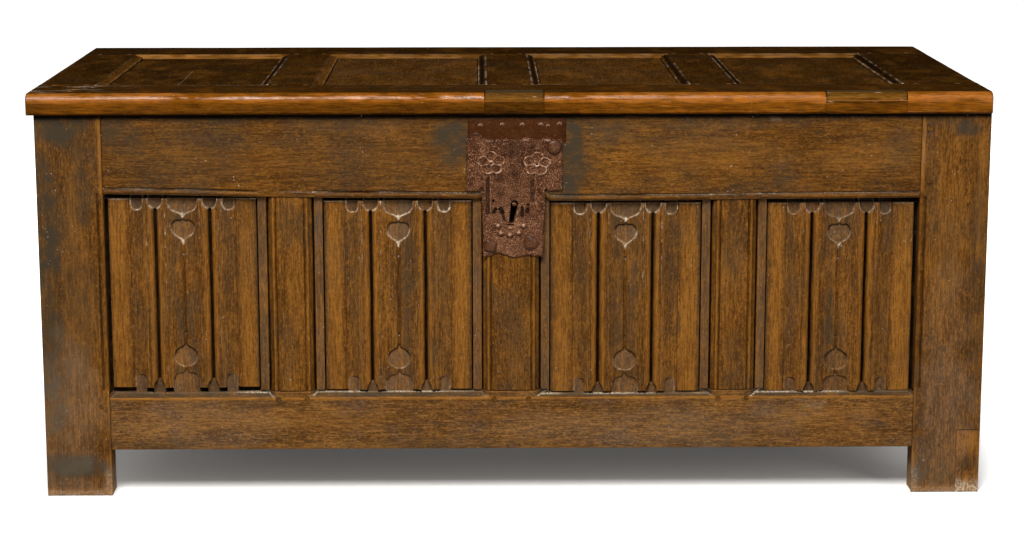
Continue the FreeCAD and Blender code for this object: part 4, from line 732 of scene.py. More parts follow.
def front_marks(seed):
    """Marks of a board of the front: wax and painted shade in what lies deep, a painted shadow under the
    lid's edge, haze and worn middles.
    """
    def marking(points, depth):
        y, z = points[:, 1] / MM, points[:, 2] / MM
        flecked = rough(points, (0.012, 0.02, 0.012), seed + 40)
        # Soot in what lies deeper than 10.6 mm: wax in the gaps, and painted shade there as well.
        deep = ramp(depth / MM, 10.6, 14)
        quirk = 0.6 * bump(depth / MM - 2.8, 0.7) * ramp(z - FOOT_MM, 0, 2) * (z < RIM_MM - 8)
        # Painted shadow: the top 5 to 8 mm of the front face, under the lid's overhang, is blackened.
        under_lid_shadow = ramp(z - RIM_MM + 1.2 * flecked, -7.6, -5.4) * (y < FRONT_MM + 1)
        return {
            "grime": deep + quirk + 0.20 * ramp(flecked, 0.35, 0.8) + 1.2 * under_lid_shadow,
            "haze": blots(points, FRONT_HAZE, 31) * (1 - deep),
            "wear": 0.55 * blots(points, FRONT_GLOW, 37),
            "dust": 0.31 * blots(points, FRONT_FILM, 43),
        }
    return marking


# Mesh lines of the mouldings, in mm from a stile's edge, a muntin's face and the ends of an opening.
STILE_LINES = (0, 0.7, 1.7, 2.9, 4, 5.1, 6.3, 7.3, 8, 8.8, 9.5, 10.2, 11)
MUNTIN_LINES = (0.3, 0.9, 1.3, 1.8, 2.6, 3.0, 3.8, 4.8, 5.6, 6.4, 7.4, 8.2, 8.6, 9.8, 11.6, 13.2, 14, 14.3,
                15.5, 16.7, 17, 17.5, 18.6, 20.4, 23.2, 26, 28, 29.1, 29.5, 30.0)
RAIL_ENDS = (16, 14, 12, 9, 6, 3, 0, -4, -8, -12)
# Both ends of each opening of the front, and how far the mouldings reach over the muntins.
BAYS = (
    (LEFT_SHOULDER, MUNTINS[0][0][0]),
    (MUNTINS[0][1][0], MUNTINS[1][0][0]),
    (MUNTINS[1][1][0], MUNTINS[2][0][0]),
    (MUNTINS[2][1][0], RIGHT_SHOULDER),
)
BAND = 16 * MM
# How far the foot of the top rail stands above or below its straight line, along the front, in mm.
RAIL_SAG = ((-642, 5.3), (-520, 3.4), (-400, 0.4), (-310, -1), (-180, -1.8), (-52, -3.6), (-44, 0), (54, 0),
            (62, -7.4), (200, -7.0), (330, -6.4), (400, -5.2), (520, -4.4), (646, -3.6))
# The chamfers of the bottom rail: how far the head of each one lies below the rail's, and their foot, in mm.
SILL_DROPS = (2.6, 2.0, 6.0, 4.6)
SILL_FACE = 11
SILL_SETBACK = 12 * MM
# Over how many mm the bead of the top rail runs in and out at each opening.
BEAD_RUNS = ((4, 30), (10, 4), (4, 12), (10, 4))
# Heights of the pegs in the head of a stile, in mm.
PEG_HEIGHTS = (HEAD_MM + 24, RIM_MM - 24)


def rail_sag(x):
    return np.interp(x / MM, *zip(*RAIL_SAG)) * MM


def sag_rail(points):
    """How far each point of the top rail is moved up by the sag of its foot."""
    return rail_sag(points[:, 0]) * ramp(points[:, 2], OPENING_HEAD + 70 * MM, OPENING_HEAD + 14 * MM)


def sag_muntin(points):
    """How far each point of a muntin is moved up to follow the top rail."""
    return rail_sag(points[:, 0]) * ramp(points[:, 2], OPENING_HEAD - 70 * MM, OPENING_HEAD - 1 * MM)


def stile_relief(edge, into):
    """The bead down the inner edge of a front stile, between the rails."""
    head = OPENING_HEAD + rail_sag(edge)

    def relief(points):
        z = points[:, 2]
        away = (points[:, 0] - edge) * into
        depth = np.maximum(arch(away, 0, 8 * MM, 0.3 * MM, 2.6 * MM), vee(away, 9.5 * MM, 1.5 * MM, 3.1 * MM))
        return (depth * ramp(z, OPENING_FOOT - 1 * MM, OPENING_FOOT + 3 * MM)
                * ramp(z, head + 2 * MM, head - 1 * MM))
    return relief


def muntin_relief(middle, half, pierced):
    """Face, quirk, bead, slope, gap and rounded band, the same on both sides of the middle."""
    def relief(points):
        x, z = points[:, 0], points[:, 2]
        wobble = 0.35 * MM * lumps(points, (0.5, 0.5, 0.07), 83)
        away = np.abs(x - middle) - half + wobble * (np.abs(x - middle) < half + 16 * MM)
        depth = vee(away, 1.3 * MM, 1.3 * MM, 2.6 * MM)
        depth = np.maximum(depth, arch(away, 2.6 * MM, 6 * MM, 0.3 * MM, 2.0 * MM))
        slope = (2.6 + (away / MM - 8.6) / 5.4 * 6.4) * MM
        band = 8.4 * MM + 1.8 * MM * ((away / MM - 23.5) / 6.5) ** 2
        for start, part in ((8.6 * MM, slope), (14 * MM, 15.5 * MM), (17 * MM, band)):
            depth = np.where(away >= start, part, depth)
        if pierced:
            depth = np.where(keyhole_distance(x, z) < 1.2, 27 * MM, depth)
        return depth
    return relief


def muntin_marks(seed, middle, half):
    """Marks of a muntin: rubbed arrises and a grey film on the band beside each panel."""
    general = front_marks(seed)

    def marking(points, depth):
        marks = general(points, depth)
        away = (np.abs(points[:, 0] - middle) - half) / MM
        band = ramp(away, 17, 18)
        at_least(marks, "haze", band * (0.34 + 0.30 * rough(points, (1, 1, 0.08), seed + 2)))
        marks["dust"] = 0.15 * band
        marks["wear"] = marks["wear"] * (1 - band) + 0.9 * bump(away - 6.4, 1.6) + 0.6 * bump(away - 19, 1.6)
        return marks
    return marking


def bay_ends(bay, margin):
    """Both ends of an opening, moved out by the margin beside a muntin but not beside a stile."""
    low, high = bay
    first = low if low == LEFT_SHOULDER else low - margin
    last = high if high == RIGHT_SHOULDER else high + margin
    return first, last


def top_rail_relief(points):
    """A bead along the foot of the top rail over each opening, run out before the muntins."""
    x, up = points[:, 0], points[:, 2] - OPENING_HEAD
    bead = np.maximum(arch(up, 0, 8 * MM, 0.2 * MM, 2.8 * MM), vee(up, 9.6 * MM, 1.6 * MM, 3.2 * MM))
    depth = np.zeros(len(x))
    for bay, (start, end) in zip(BAYS, BEAD_RUNS):
        first, last = bay_ends(bay, BAND)
        here = ramp(x, first, first + start * MM) * ramp(x, last, last - end * MM)
        depth = np.maximum(depth, bead * here)
    return depth


def sill_place(points, bay, drop):
    """In mm: distance from the nearer end of the chamfer under an opening, and depth below its top."""
    first, last = bay_ends(bay, BAND + 6 * MM)
    return -outside(points[:, 0], first, last) / MM, (OPENING_FOOT - points[:, 2]) / MM - drop


def bottom_rail_relief(points):
    """A chamfer along the head of the bottom rail under each opening, with mitred ends."""
    x = points[:, 0]
    depth = np.zeros(len(x))
    for bay, drop in zip(BAYS, SILL_DROPS):
        inside, down = sill_place(points, bay, drop)
        slope = np.minimum(1 - down / (SILL_FACE - drop), inside / 10)
        depth = np.maximum(depth, SILL_SETBACK * np.clip(slope, 0, 1))
        cleared = (outside(x, *bay) < -0.5 * MM) & (down < 0)
        depth = np.where(cleared, 23 * MM, depth)
    return depth


def top_rail_marks(points, depth, marks, broken):
    """Dust along the bead, a painted shadow at the bead's foot and small chips at the rim."""
    y, z = points[:, 1] / MM, points[:, 2] / MM
    up = z - HEAD_MM
    marks["dust"] = 0.95 * bump(up - 8.6, 1.1) * ramp(depth, 0.1, 0.5) * broken
    # Painted shadow: the dark is kept off the bead, and a black line is laid at its foot.
    marks["grime"] = marks["grime"] * ramp(up, 6, 12) + 0.6 * bump(up, 1.5) * ramp(depth, 0.5, 2)
    at_least(marks, "haze", 0.9 * ramp(z - RIM_MM, -14, 0))
    chipped = ramp(rough(points, (0.012, 1, 1), 30), 0.30, 0.45)
    chipped *= ramp(rough(points, (0.15, 1, 1), 32), -0.1, 0.4) * (y < FRONT_MM + 3)
    marks["dust"] += 0.75 * chipped * bump(z - RIM_MM + 8.2, 1.6)


def bottom_rail_marks(points, depth, marks, broken):
    """Dust at the back and in the corners of the chamfers, and their rubbed front edge."""
    for bay, drop in zip(BAYS, SILL_DROPS):
        inside, down = sill_place(points, bay, drop)
        back_line = bump(down - 0.8, 1.1) * (inside > 9)
        corner = bump(inside / 10 - 1 + down / (SILL_FACE - drop), 0.24) * (inside > 0)
        corner *= ramp(depth, 0.3, 1.2)
        at_least(marks, "dust", 0.95 * back_line * (0.2 + 0.8 * broken))
        at_least(marks, "dust", 0.95 * corner * (0.3 + 0.7 * broken))
    down = FOOT_MM - points[:, 2] / MM
    marks["wear"] += 1.7 * bump(down - 11.4, 2.2) * (depth < 1.5) * ramp(down, 16, 12)
    marks["grime"] *= 0.30
    at_least(marks, "haze", 0.85 * ramp(depth, 1, 4))
    marks["dust"] += 0.30 * broken * bump(down - 30, 60) * (depth < 0.2)


def rail_marks(seed, own_marks):
    """Marks of a front rail: the general ones and those of its moulding."""
    general = front_marks(seed)

    def marking(points, depth):
        marks = general(points, depth)
        broken = ramp(rough(points, (0.05, 1, 1), seed + 3), -0.5, 0.25)
        own_marks(points, depth / MM, marks, broken)
        return marks
    return marking


def foot_marks(seed, inner, into):
    """Marks of a front stile: dark stains low on the foot, pale at the floor and worn inside."""
    general = front_marks(seed)

    def marking(points, depth):
        marks = general(points, depth)
        z = points[:, 2] / MM
        away = (points[:, 0] - inner) * into / MM
        low = ramp(z, 15, 6)
        ragged = rough(points, (0.02, 0.02, 0.03), seed + 8)
        at_least(marks, "haze", 0.9 * ramp(ragged, -0.1, 0.5) * ramp(z, 78, 30) * ramp(z, 10, 24))
        at_least(marks, "dust", 0.50 * np.maximum(low, ramp(away, 20, 6) * ramp(z, 66, 34)))
        at_least(marks, "dust", (0.10 + 0.32 * ramp(ragged, 0.0, 0.6)) * ramp(z, 95, 20))
        marks["wear"] += 1.2 * bump(away, 5) * ramp(z, 78, 60) + low
        marks["wear"] += 1.1 * bump(away - 96, 5) * ramp(ragged, -0.4, 0.3)
        if into > 0:
            for peg_z in PEG_HEIGHTS:
                ring = np.hypot(away - 13, z - peg_z)
                at_least(marks, "grime", 0.85 * bump(ring - 5.0, 1.4))
                at_least(marks, "haze", ramp(ring, 5.2, 3.4))
        joint = bump(away - 3.2, 3.0) * ramp(z - HEAD_MM, 0, 8)
        marks["wear"] += 1.2 * joint
        marks["haze"] *= 1 - 0.9 * joint
        return marks
    return marking


def foot_patch_marks(marking, low, high):
    """Marks of the patch in the foot: dark in its middle, rubbed at its head and pale at the floor."""
    middle, top = (low[0] + high[0]) / 2 / MM, high[2] / MM

    def patch_marking(points, depth):
        marks = marking(points, depth)
        x, z = points[:, 0] / MM, points[:, 2] / MM
        ragged = 1 + 0.35 * rough(points, 0.02, 61)
        away = np.hypot((x - middle) / 24, (z - top * 0.45) / 26) * ragged
        at_least(marks, "grime", 0.55 * ramp(away, 1.1, 0.3))
        at_least(marks, "dust", 0.85 * ramp(z * ragged, 34, 8))
        marks["wear"] += 0.5 * ramp(z * ragged, top * 0.55, top * 0.8)
        return marks
    return patch_marking


def lock_place(x, z):
    """Place on the lock plate in mm: across from its middle, and height."""
    return (x - LOCK_X) / MM, z / MM


def keyhole_distance(x, z):
    """Distance in mm outside the keyhole: a round eye with a slot that leans to the left below it."""
    u, v = lock_place(x, z)
    eye = np.hypot(u - 0.2, v - 474.3) - 5.4
    part = np.clip((v - 444.4) / 24, 0, 1)
    slot = np.maximum(np.abs(u + 4.9 - 4.4 * part) - 2.9 - 2.3 * part, outside(v, 444.4, 474))
    return np.minimum(eye, slot)


def patched(relief, low, high):
    """The same relief, cut deeper where a let-in patch lies."""
    def cut(points):
        x, z = points[:, 0], points[:, 2]
        under = (x > low[0]) & (x <= high[0]) & (z >= low[2]) & (z < high[2])
        return relief(points) + 5 * MM * under
    return cut


def front_board(name, corners, grain, seed, relief, marking, lines, stations, tone=1.0, shave=None, sag=None):
    """A board of the front, standing for the node of its name."""
    mesh = board(*corners, grain, "-y", seed, relief, marking, lines, stations, shave=shave)
    if sag is not None:
        mesh[0][:, 2] += sag(mesh[0])
    oak_piece(name, [mesh], "front", grain, tone, seed * 1.37)


def make_stile(side, edge, into):
    """A front stile; the right one is cut back for the patch let into its foot."""
    name = f"front_stile_{side}"
    lines = [edge + into * line * MM for line in STILE_LINES]
    head = OPENING_HEAD + rail_sag(edge)
    stations = [OPENING_FOOT, OPENING_FOOT + 3 * MM, head - 1 * MM, head + 2 * MM, 8 * MM, 14 * MM]
    relief, shave = stile_relief(edge, into), None
    marking = foot_marks(7, edge, into)
    if side == "right":
        low, high = node_box("foot_patch")
        lines += [low[0] - 0.4 * MM, low[0] + 0.2 * MM]
        stations += [high[2] - 0.2 * MM, high[2] + 0.4 * MM]
        relief = patched(relief, low, high)

        def shave(points):
            return 1.2 * MM * (points[:, 2] < high[2]) * (points[:, 1] < high[1])

        mesh = board(low, high, "z", "-y", 9, None, foot_patch_marks(marking, low, high))
        oak_piece("foot_patch", [mesh], "patch", "z", 1.25, 4.4)
    seed = 3 if side == "left" else 5
    front_board(name, node_box(name), "z", seed, relief, marking, lines, stations, 0.90, shave)


def make_rails():
    """Both rails of the front, with closer mesh lines at the ends of the openings."""
    stations = [edge + reach * MM * way for bay in BAYS for edge, way in zip(bay, (-1, 1))
                for reach in RAIL_ENDS]
    shoulders = (LEFT_SHOULDER, RIGHT_SHOULDER)
    lines = [OPENING_HEAD + line * MM for line in STILE_LINES + (11.4,)]
    front_board("front_top_rail", cut_box("front_top_rail", x=shoulders), "x", 11, top_rail_relief,
                rail_marks(11, top_rail_marks), lines, stations, 0.82, sag=sag_rail)
    lines = OPENING_FOOT - np.arange(0.6, 13, 0.8) * MM
    front_board("front_bottom_rail", cut_box("front_bottom_rail", x=shoulders), "x", 13, bottom_rail_relief,
                rail_marks(13, bottom_rail_marks), lines, stations, (1.08, 1.22, 1.9))


def make_muntin(side, seed, tone):
    """A front muntin; the centre one is pierced behind the keyhole."""
    name = f"front_muntin_{side}"
    low, high = cut_box(name, z=(OPENING_FOOT, OPENING_HEAD))
    middle = (low[0] + high[0]) / 2
    half = (high[0] - low[0]) / 2 - 30.5 * MM
    lines = [middle + way * (half + line * MM) for line in MUNTIN_LINES for way in (-1, 1)]
    stations, sag = (), sag_muntin
    if side == "centre":
        lines += list(LOCK_X + np.arange(-10, 9, 0.9) * MM)
        stations, sag = np.arange(440, 482, 0.9) * MM, None
    front_board(name, (low, high), "z", seed, muntin_relief(middle, half, side == "centre"),
                muntin_marks(seed, middle, half), lines, stations, tone, sag=sag)


class COFFER_OT_front_frame(bpy.types.Operator):
    """Boards of the front's frame, with their beads, chamfers and mouldings"""
    bl_idname = "coffer.front_frame"
    bl_label = "Front frame"

    def execute(self, context):
        make_stile("left", LEFT_SHOULDER, -1)
        make_stile("right", RIGHT_SHOULDER, 1)
        make_rails()
        for side, seed, tone in zip(SIDES, (17, 18, 19), (1.0, 0.97, 0.97)):
            make_muntin(side, seed, tone)
        return {"FINISHED"}


# --------------------------------------------------------------------------- linenfold

# The section of the folds: distance from the middle and depth, in mm.
FOLD = (
    (0, 15.0), (1.3, 14.6), (2.6, 12.4), (3.3, 11.4), (6, 11.7), (10, 11.8), (14, 11.3), (18, 10.2),
    (21.5, 8.9), (23.8, 7.7), (24.5, 7.2), (25.4, 6.7), (26.4, 6.8), (27.0, 7.6), (27.6, 8.1), (28.2, 7.4),
    (29.2, 6.3), (31.0, 5.7), (33.2, 5.6), (35.2, 5.9), (37.2, 7.0), (38.6, 8.2), (40.2, 10.2),
    (40.9, 14.5), (41.6, 19.8), (44.6, 19.8), (45.3, 14.5), (46.0, 10.2), (47.4, 8.2), (48.6, 6.9),
    (50.6, 5.8), (52.8, 5.6), (54.6, 5.9), (55.8, 6.5), (56.5, 7.5), (57.0, 8.1), (57.6, 7.5), (58.2, 6.8),
    (59.8, 6.7), (61.2, 7.3), (62.0, 8.2), (65, 9.5), (68.5, 11.2), (72, 12.6), (76, 13.6), (80, 14.0),
    (82.8, 13.9), (83.6, 14.3), (84.3, 12.4), (86, 11.9), (100, 11.6), (130, 12.0),
)
FOLD_T, FOLD_D = np.array(FOLD).T * MM
FOLD_HEAD = 480.6 * MM
FOLD_FOOT = 174.3 * MM
# Outlines of the carved shapes: height and half width, in mm.
HEART = ((405.5, 0.5), (409, 1.1), (412, 2.0), (414, 3.0), (416, 5.2), (418, 8.6), (420.5, 12.0),
         (424, 15.4), (428, 17.4), (432, 18.3), (436, 18.2), (440, 16.9), (443, 14.8), (445.6, 11.5))
RING = ((207.9, 3), (209, 7.5), (211.5, 12.2), (215, 15.6), (219, 17.6), (224, 18.3), (229, 17.9),
        (233, 16.2), (236.5, 13.2), (239, 9.8), (240.8, 6.4), (242.2, 3.8), (244, 1.9), (246.3, 0.7))
HEAD_SINK = ((448.8, 0.6), (451, 1.5), (453.5, 2.6), (455.6, 5.0), (457.2, 9.5), (459.2, 14.5),
             (462, 19.0), (465.5, 21.8), (470, 23.3), (476, 23.7), (500, 23.7))
SIDE_SINK = ((463.2, 1.6), (464.2, 4.0), (466, 6.8), (468.6, 9.2), (472, 11.2), (476, 12.1), (500, 12.2))
OUTER_SINK = ((461.4, 2.5), (462, 4.5), (463.6, 6.8), (466, 8.6), (469, 9.5), (474, 9.8), (500, 9.8))
FOOT_ARCH = ((150, 21.2), (181, 21.2), (189, 20.4), (193.5, 18.6), (196.6, 15.4), (198.3, 11.0),
             (199.2, 6.0), (200.4, 2.6), (202.6, 0.7))
OUTER_ARCH = ((150, 8.8), (189, 8.8), (192.5, 8.2), (194.8, 6.6), (196, 4.0))
CHANNEL_ARCH = ((150, 9.2), (176, 9.2), (181, 8.2), (184.5, 6.2), (187, 3.6), (188.2, 1.6))
# Each carved shape: place across, outline, dust on its lower edge, dust on its upper edge.
SHAPES = (
    (0, HEART, 1.15, 0.0), (0, RING, 0.75, 0.0), (0, HEAD_SINK, 1.15, 0.0), (43, SIDE_SINK, 1.3, 0.0),
    (72.5, OUTER_SINK, 1.25, 0.0), (0, FOOT_ARCH, 0.85, 0.40), (72.5, OUTER_ARCH, 0.75, 0.40),
    (43, CHANNEL_ARCH, 0.55, 0.2),
)
# Each panel: how far its carving is set up and to the right, in mm, the dust on its edges, its tone.
PANELS = ((2.3, 2.0, 0.80, 1.06), (-2.3, 0.6, 0.92, 1.08), (-6.7, 0.0, 0.86, 1.02), (-7.2, -5.0, 0.60, 1.06))


def flask(across, z, outline):
    """Distance outside a shape that is given by its half width at each height."""
    heights, halves = np.array(outline).T * MM
    small = 0.4 * MM
    steep = (np.interp(z + small, heights, halves) - np.interp(z - small, heights, halves)) / (2 * small)
    side = (across - np.interp(z, heights, halves)) / np.sqrt(1 + steep ** 2)
    return np.maximum(side, outside(z, heights[0], heights[-1]))


def panel_relief(middle, low, high, gaps, lift, dustiness, seed):
    """Depth and marks of a linenfold panel between low and high, set back at its sides by the gaps."""
    carving = bpy.context.scene.coffer_carving

    def carved(x, z):
        """Distance outside the nearest carved shape, and how far its edge faces up and holds dust."""
        across = np.abs(x - middle)
        nearest, ledge, dusty = np.full(len(x), 1.0), np.zeros(len(x)), np.zeros(len(x))
        for index, (place, outline, low_dust, high_dust) in enumerate(SHAPES):
            own = np.abs(across - place * MM) if place else across
            own = own * (1 + 0.02 * math.sin(seed * 1.7 + index))
            distance = flask(own, z, outline)
            under = flask(own, z + 0.5 * MM, outline) - flask(own, z - 0.5 * MM, outline)
            facing = ramp(under / MM, 0.55, -0.15)
            closer = distance < nearest
            nearest = np.where(closer, distance, nearest)
            ledge = np.where(closer, facing, ledge)
            dusty = np.where(closer, high_dust + (low_dust - high_dust) * facing, dusty)
        return nearest, ledge, dusty

    def relief(points):
        x, z = points[:, 0], points[:, 2] - lift
        wander = 0.45 * MM * lumps(points, (9, 9, 0.11), seed) + 0.15 * MM * lumps(points, (9, 9, 0.02), seed)
        depth = np.interp(np.abs(x - middle + wander), FOLD_T, FOLD_D)
        nearest = carved(x + wander * 0.5, z)[0]
        in_sink = ramp(nearest, 0, -carving.wall)
        floor = carving.sink + 0.4 * MM * lumps(points, 0.006, seed + 2)
        depth = depth * (1 - in_sink) + np.where(nearest < 0, floor, depth) * in_sink
        dot = np.hypot(x - middle, np.minimum(np.abs(z - 391 * MM), np.abs(z - 262.6 * MM)))
        inset = -outside(x, low + gaps[0], high - gaps[1])
        depth = depth + 2.0 * MM * ramp(dot, 2.6 * MM, 1.0 * MM) + 1.6 * MM * ramp(inset, 3.5 * MM, 0)
        half = 0.6 * MM
        ends = np.maximum(ramp(z, FOLD_HEAD - half, FOLD_HEAD + half),
                          ramp(z, FOLD_FOOT + half, FOLD_FOOT - half) * (nearest > 0))
        sides = ramp(inset, 0.4 * MM, -0.4 * MM)
        return np.maximum(depth, np.maximum(ends * 20.5 * MM, sides * 21.5 * MM))

    def marking(points, depth):
        nearest, ledge, dusty = carved(points[:, 0], points[:, 2] - lift)
        nearest = nearest / MM
        aside, up = np.abs(points[:, 0] - middle) / MM, (points[:, 2] - lift) / MM
        past, rim = up - FOLD_HEAD / MM, outside(points[:, 0], low, high) / MM
        clear, inside = nearest > 0, nearest < -1
        body = (past < 0) & (up > FOLD_FOOT / MM) & clear
        outer = np.abs(aside - 72.5) < 12
        thick = 0.85 + 0.45 * lumps(points, 0.009, seed + 4) + 0.2 * lumps(points, 0.003, seed + 5)
        broken = ramp(rough(points, (0.003, 0.003, 0.007), seed + 6), -0.15, 0.55)
        smear = 1 + 0.6 * lumps(points, 0.02, seed + 8)
        cloudy = ramp(rough(points, (0.02, 0.02, 0.09), seed + 12), -0.6, 0.5)
        dust = bump(nearest + 0.30, 1.20 * thick) * dusty * (0.72 + 0.40 * lumps(points, 0.005, seed + 9))
        for share, height, flat, width in ((1.1, 411, 0.55, 2.3), (1.1, 453.5, 0.7, 2.5), (1, 390.4, 1, 2.0),
                                           (0.7, 262.0, 1, 1.8)):
            dust += share * bump(np.hypot(aside, (up - height) * flat), width)
        seams = bump(aside - 27.5, 0.9) + bump(aside - 57.0, 0.9) + 0.5 * bump(aside - 61.9, 0.8)
        dust += 0.95 * seams * (0.10 + broken) * body * (0.60 + 0.40 * ramp(up, 250, 450))
        dust += 0.85 * (aside > 85) * bump(past + 1.2, 1.2 * smear)
        dust += 0.45 * (aside < 85) * bump(past + 0.8, 1.0) * (nearest > 1) + 0.22 * inside
        worn = 0.9 * bump(aside - 36.5, 3.2) + 0.9 * bump(aside - 49.5, 3.2) + 0.4 * bump(aside - 60, 2)
        worn *= body
        worn += 0.75 * ramp(aside, 86, 92) * ramp(rim, -2, -12) * clear * (1 - 0.5 * ramp(up, 400, 470))
        low_dark = 0.25 * inside * (outer | (np.abs(aside - 43) < 12)) * (up < 200)
        # Painted shade: soot in the deep channels, the gaps at the panel's ends and sides and the dots, and a
        # painted shadow on the sink walls that do not face up.
        grime = ramp(depth / MM, 14.9, 17.5) + 0.9 * bump(nearest + 0.3, 1.2) * (1 - ledge) * (up > 200)
        grime += low_dark + 0.35 * inside * outer * (up > 400) + 0.35 * bump(aside, 1.2) * body * (up < 390)
        hollow = (0.55 * bump(aside - 73, 13) + 0.90 * bump(aside - 13, 10)) * body * cloudy
        filmy = inside * (0.24 + 0.14 * (up > 440)) * (1 - 0.5 * low_dark)
        return {
            "dust": dust * 1.12 * carving.dust * dustiness,
            "grime": grime,
            "wear": worn,
            "haze": np.maximum(np.maximum(hollow, 0.7 * bump(rim + 2, 5)), filmy),
        }
    return relief, marking


class COFFER_OT_linenfold(bpy.types.Operator):
    """The four carved linenfold panels"""
    bl_idname = "coffer.linenfold"
    bl_label = "Linenfold panels"

    def execute(self, context):
        cell = context.scene.coffer_carving.cell
        for number, (bay, (lift, offset, dustiness, tone)) in enumerate(zip(BAYS, PANELS), start=1):
            name = f"linenfold_panel_{number}"
            low, high = node_box(name)
            low = np.array((low[0] + PANEL_TONGUE, FRONT, OPENING_FOOT - 9 * MM))
            high = np.array((high[0] - PANEL_TONGUE, high[1], OPENING_HEAD + 9 * MM))
            middle = (low[0] + high[0]) / 2 + offset * MM
            gaps = [(6 if edge in (LEFT_SHOULDER, RIGHT_SHOULDER) else 1.8) * MM for edge in bay]
            relief, marking = panel_relief(middle, low[0], high[0], gaps, lift * MM, dustiness, 50 + number)
            own = middle + np.outer((-1, 1), FOLD_T[FOLD_T < 0.09]).ravel()
            lines = np.arange(low[0] + cell, high[0], cell)
            lines = lines[np.min(np.abs(lines[:, None] - own[None, :]), axis=1) > cell / 3]
            upper = np.arange(379 * MM, high[2], cell * 0.95)
            lower = np.arange(low[2], 269 * MM, cell * 0.95)
            mesh = board(low, high, "z", "-y", 50 + number, relief, marking, np.concatenate([lines, own]),
                         np.concatenate([lower, upper]), 0.3 * MM)
            oak_piece(name, [mesh], "front", "z", tone, number * 2.93)
        return {"FINISHED"}


# --------------------------------------------------------------------------- ends and back

def side_piece(name, corners, grain, face, seed, tone, shift):
    """A piece of the ends or the back: one board for each pair of corners."""
    meshes = [board(low, high, grain, face, seed) for low, high in corners]
    oak_piece(name, meshes, "side", grain, tone, shift)


class COFFER_OT_sides(bpy.types.Operator):
    """Ends and back, in plain boards"""
    bl_idname = "coffer.sides"
    bl_label = "Ends, back and floor"

    def execute(self, context):
        opening = (OPENING_FOOT, OPENING_HEAD)
        for side in ("left", "right"):
            name = f"rear_stile_{side}"
            side_piece(name, [node_box(name)], "z", "+y", 61, 0.9, 6.1)
        between = (node_box("front_stile_left")[1][1], node_box("rear_stile_left")[0][1])
        for side, face in (("left", "-x"), ("right", "+x")):
            for name in (f"{side}_end_top_rail", f"{side}_end_bottom_rail"):
                side_piece(name, [cut_box(name, y=between)], "y", face, 63 + len(name), 0.95, 3.3)
            name = f"{side}_end_muntin"
            muntin_low, muntin_high = cut_box(name, z=opening)
            side_piece(name, [(muntin_low, muntin_high)], "z", face, 67, 0.95, 4.7)
            name = f"{side}_end_panels"
            low, high = node_box(name)
            spans = ((low[1], muntin_low[1] + PANEL_TONGUE), (muntin_high[1] - PANEL_TONGUE, high[1]))
            side_piece(name, [cut_box(name, y=span) for span in spans], "z", face, 71, 1.0, 8.3)
        between = (node_box("rear_stile_left")[1][0], node_box("rear_stile_right")[0][0])
        for name in ("back_top_rail", "back_bottom_rail"):
            side_piece(name, [cut_box(name, x=between)], "x", "+y", 73, 0.9, 5.9)
        low, high = node_box("back_muntins")
        width = 100 * MM
        spans = ((low[0], low[0] + width), (high[0] - width, high[0]))
        corners = [cut_box("back_muntins", x=span, z=opening) for span in spans]
        side_piece("back_muntins", corners, "z", "+y", 79, 0.92, 7.9)
        low, high = node_box("back_panels")
        starts = (low[0], spans[0][1] - PANEL_TONGUE, spans[1][1] - PANEL_TONGUE)
        ends = (spans[0][0] + PANEL_TONGUE, spans[1][0] + PANEL_TONGUE, high[0])
        corners = [cut_box("back_panels", x=span) for span in zip(starts, ends)]
        side_piece("back_panels", corners, "z", "+y", 83, 1.0, 9.1)
        return {"FINISHED"}


# --------------------------------------------------------------------------- the lock plate

# Thickness of the iron, in mm.
PLATE_IRON = 2.5
STRIP_IRON = 1.5
STRIP = node_box("lock_top_strip")
TORN_FOOT = ((-52, 389.5), (-37, 391), (-31, 394.5), (-22, 395.6), (-14, 393), (-5, 389), (6, 388.6),
             (14, 391), (24, 392.2), (34, 390.6), (52, 389.4))
SCALLOPS = ((-78, 577), (-70, 579), (-62, 581.5), (-54, 578), (-44, 578), (-36, 576), (-24, 577),
            (-13, 578.6), (-2, 576.4), (8, 577), (18, 580), (28, 577.5), (40, 576.5), (50, 579.5),
            (60, 577), (78, 577))
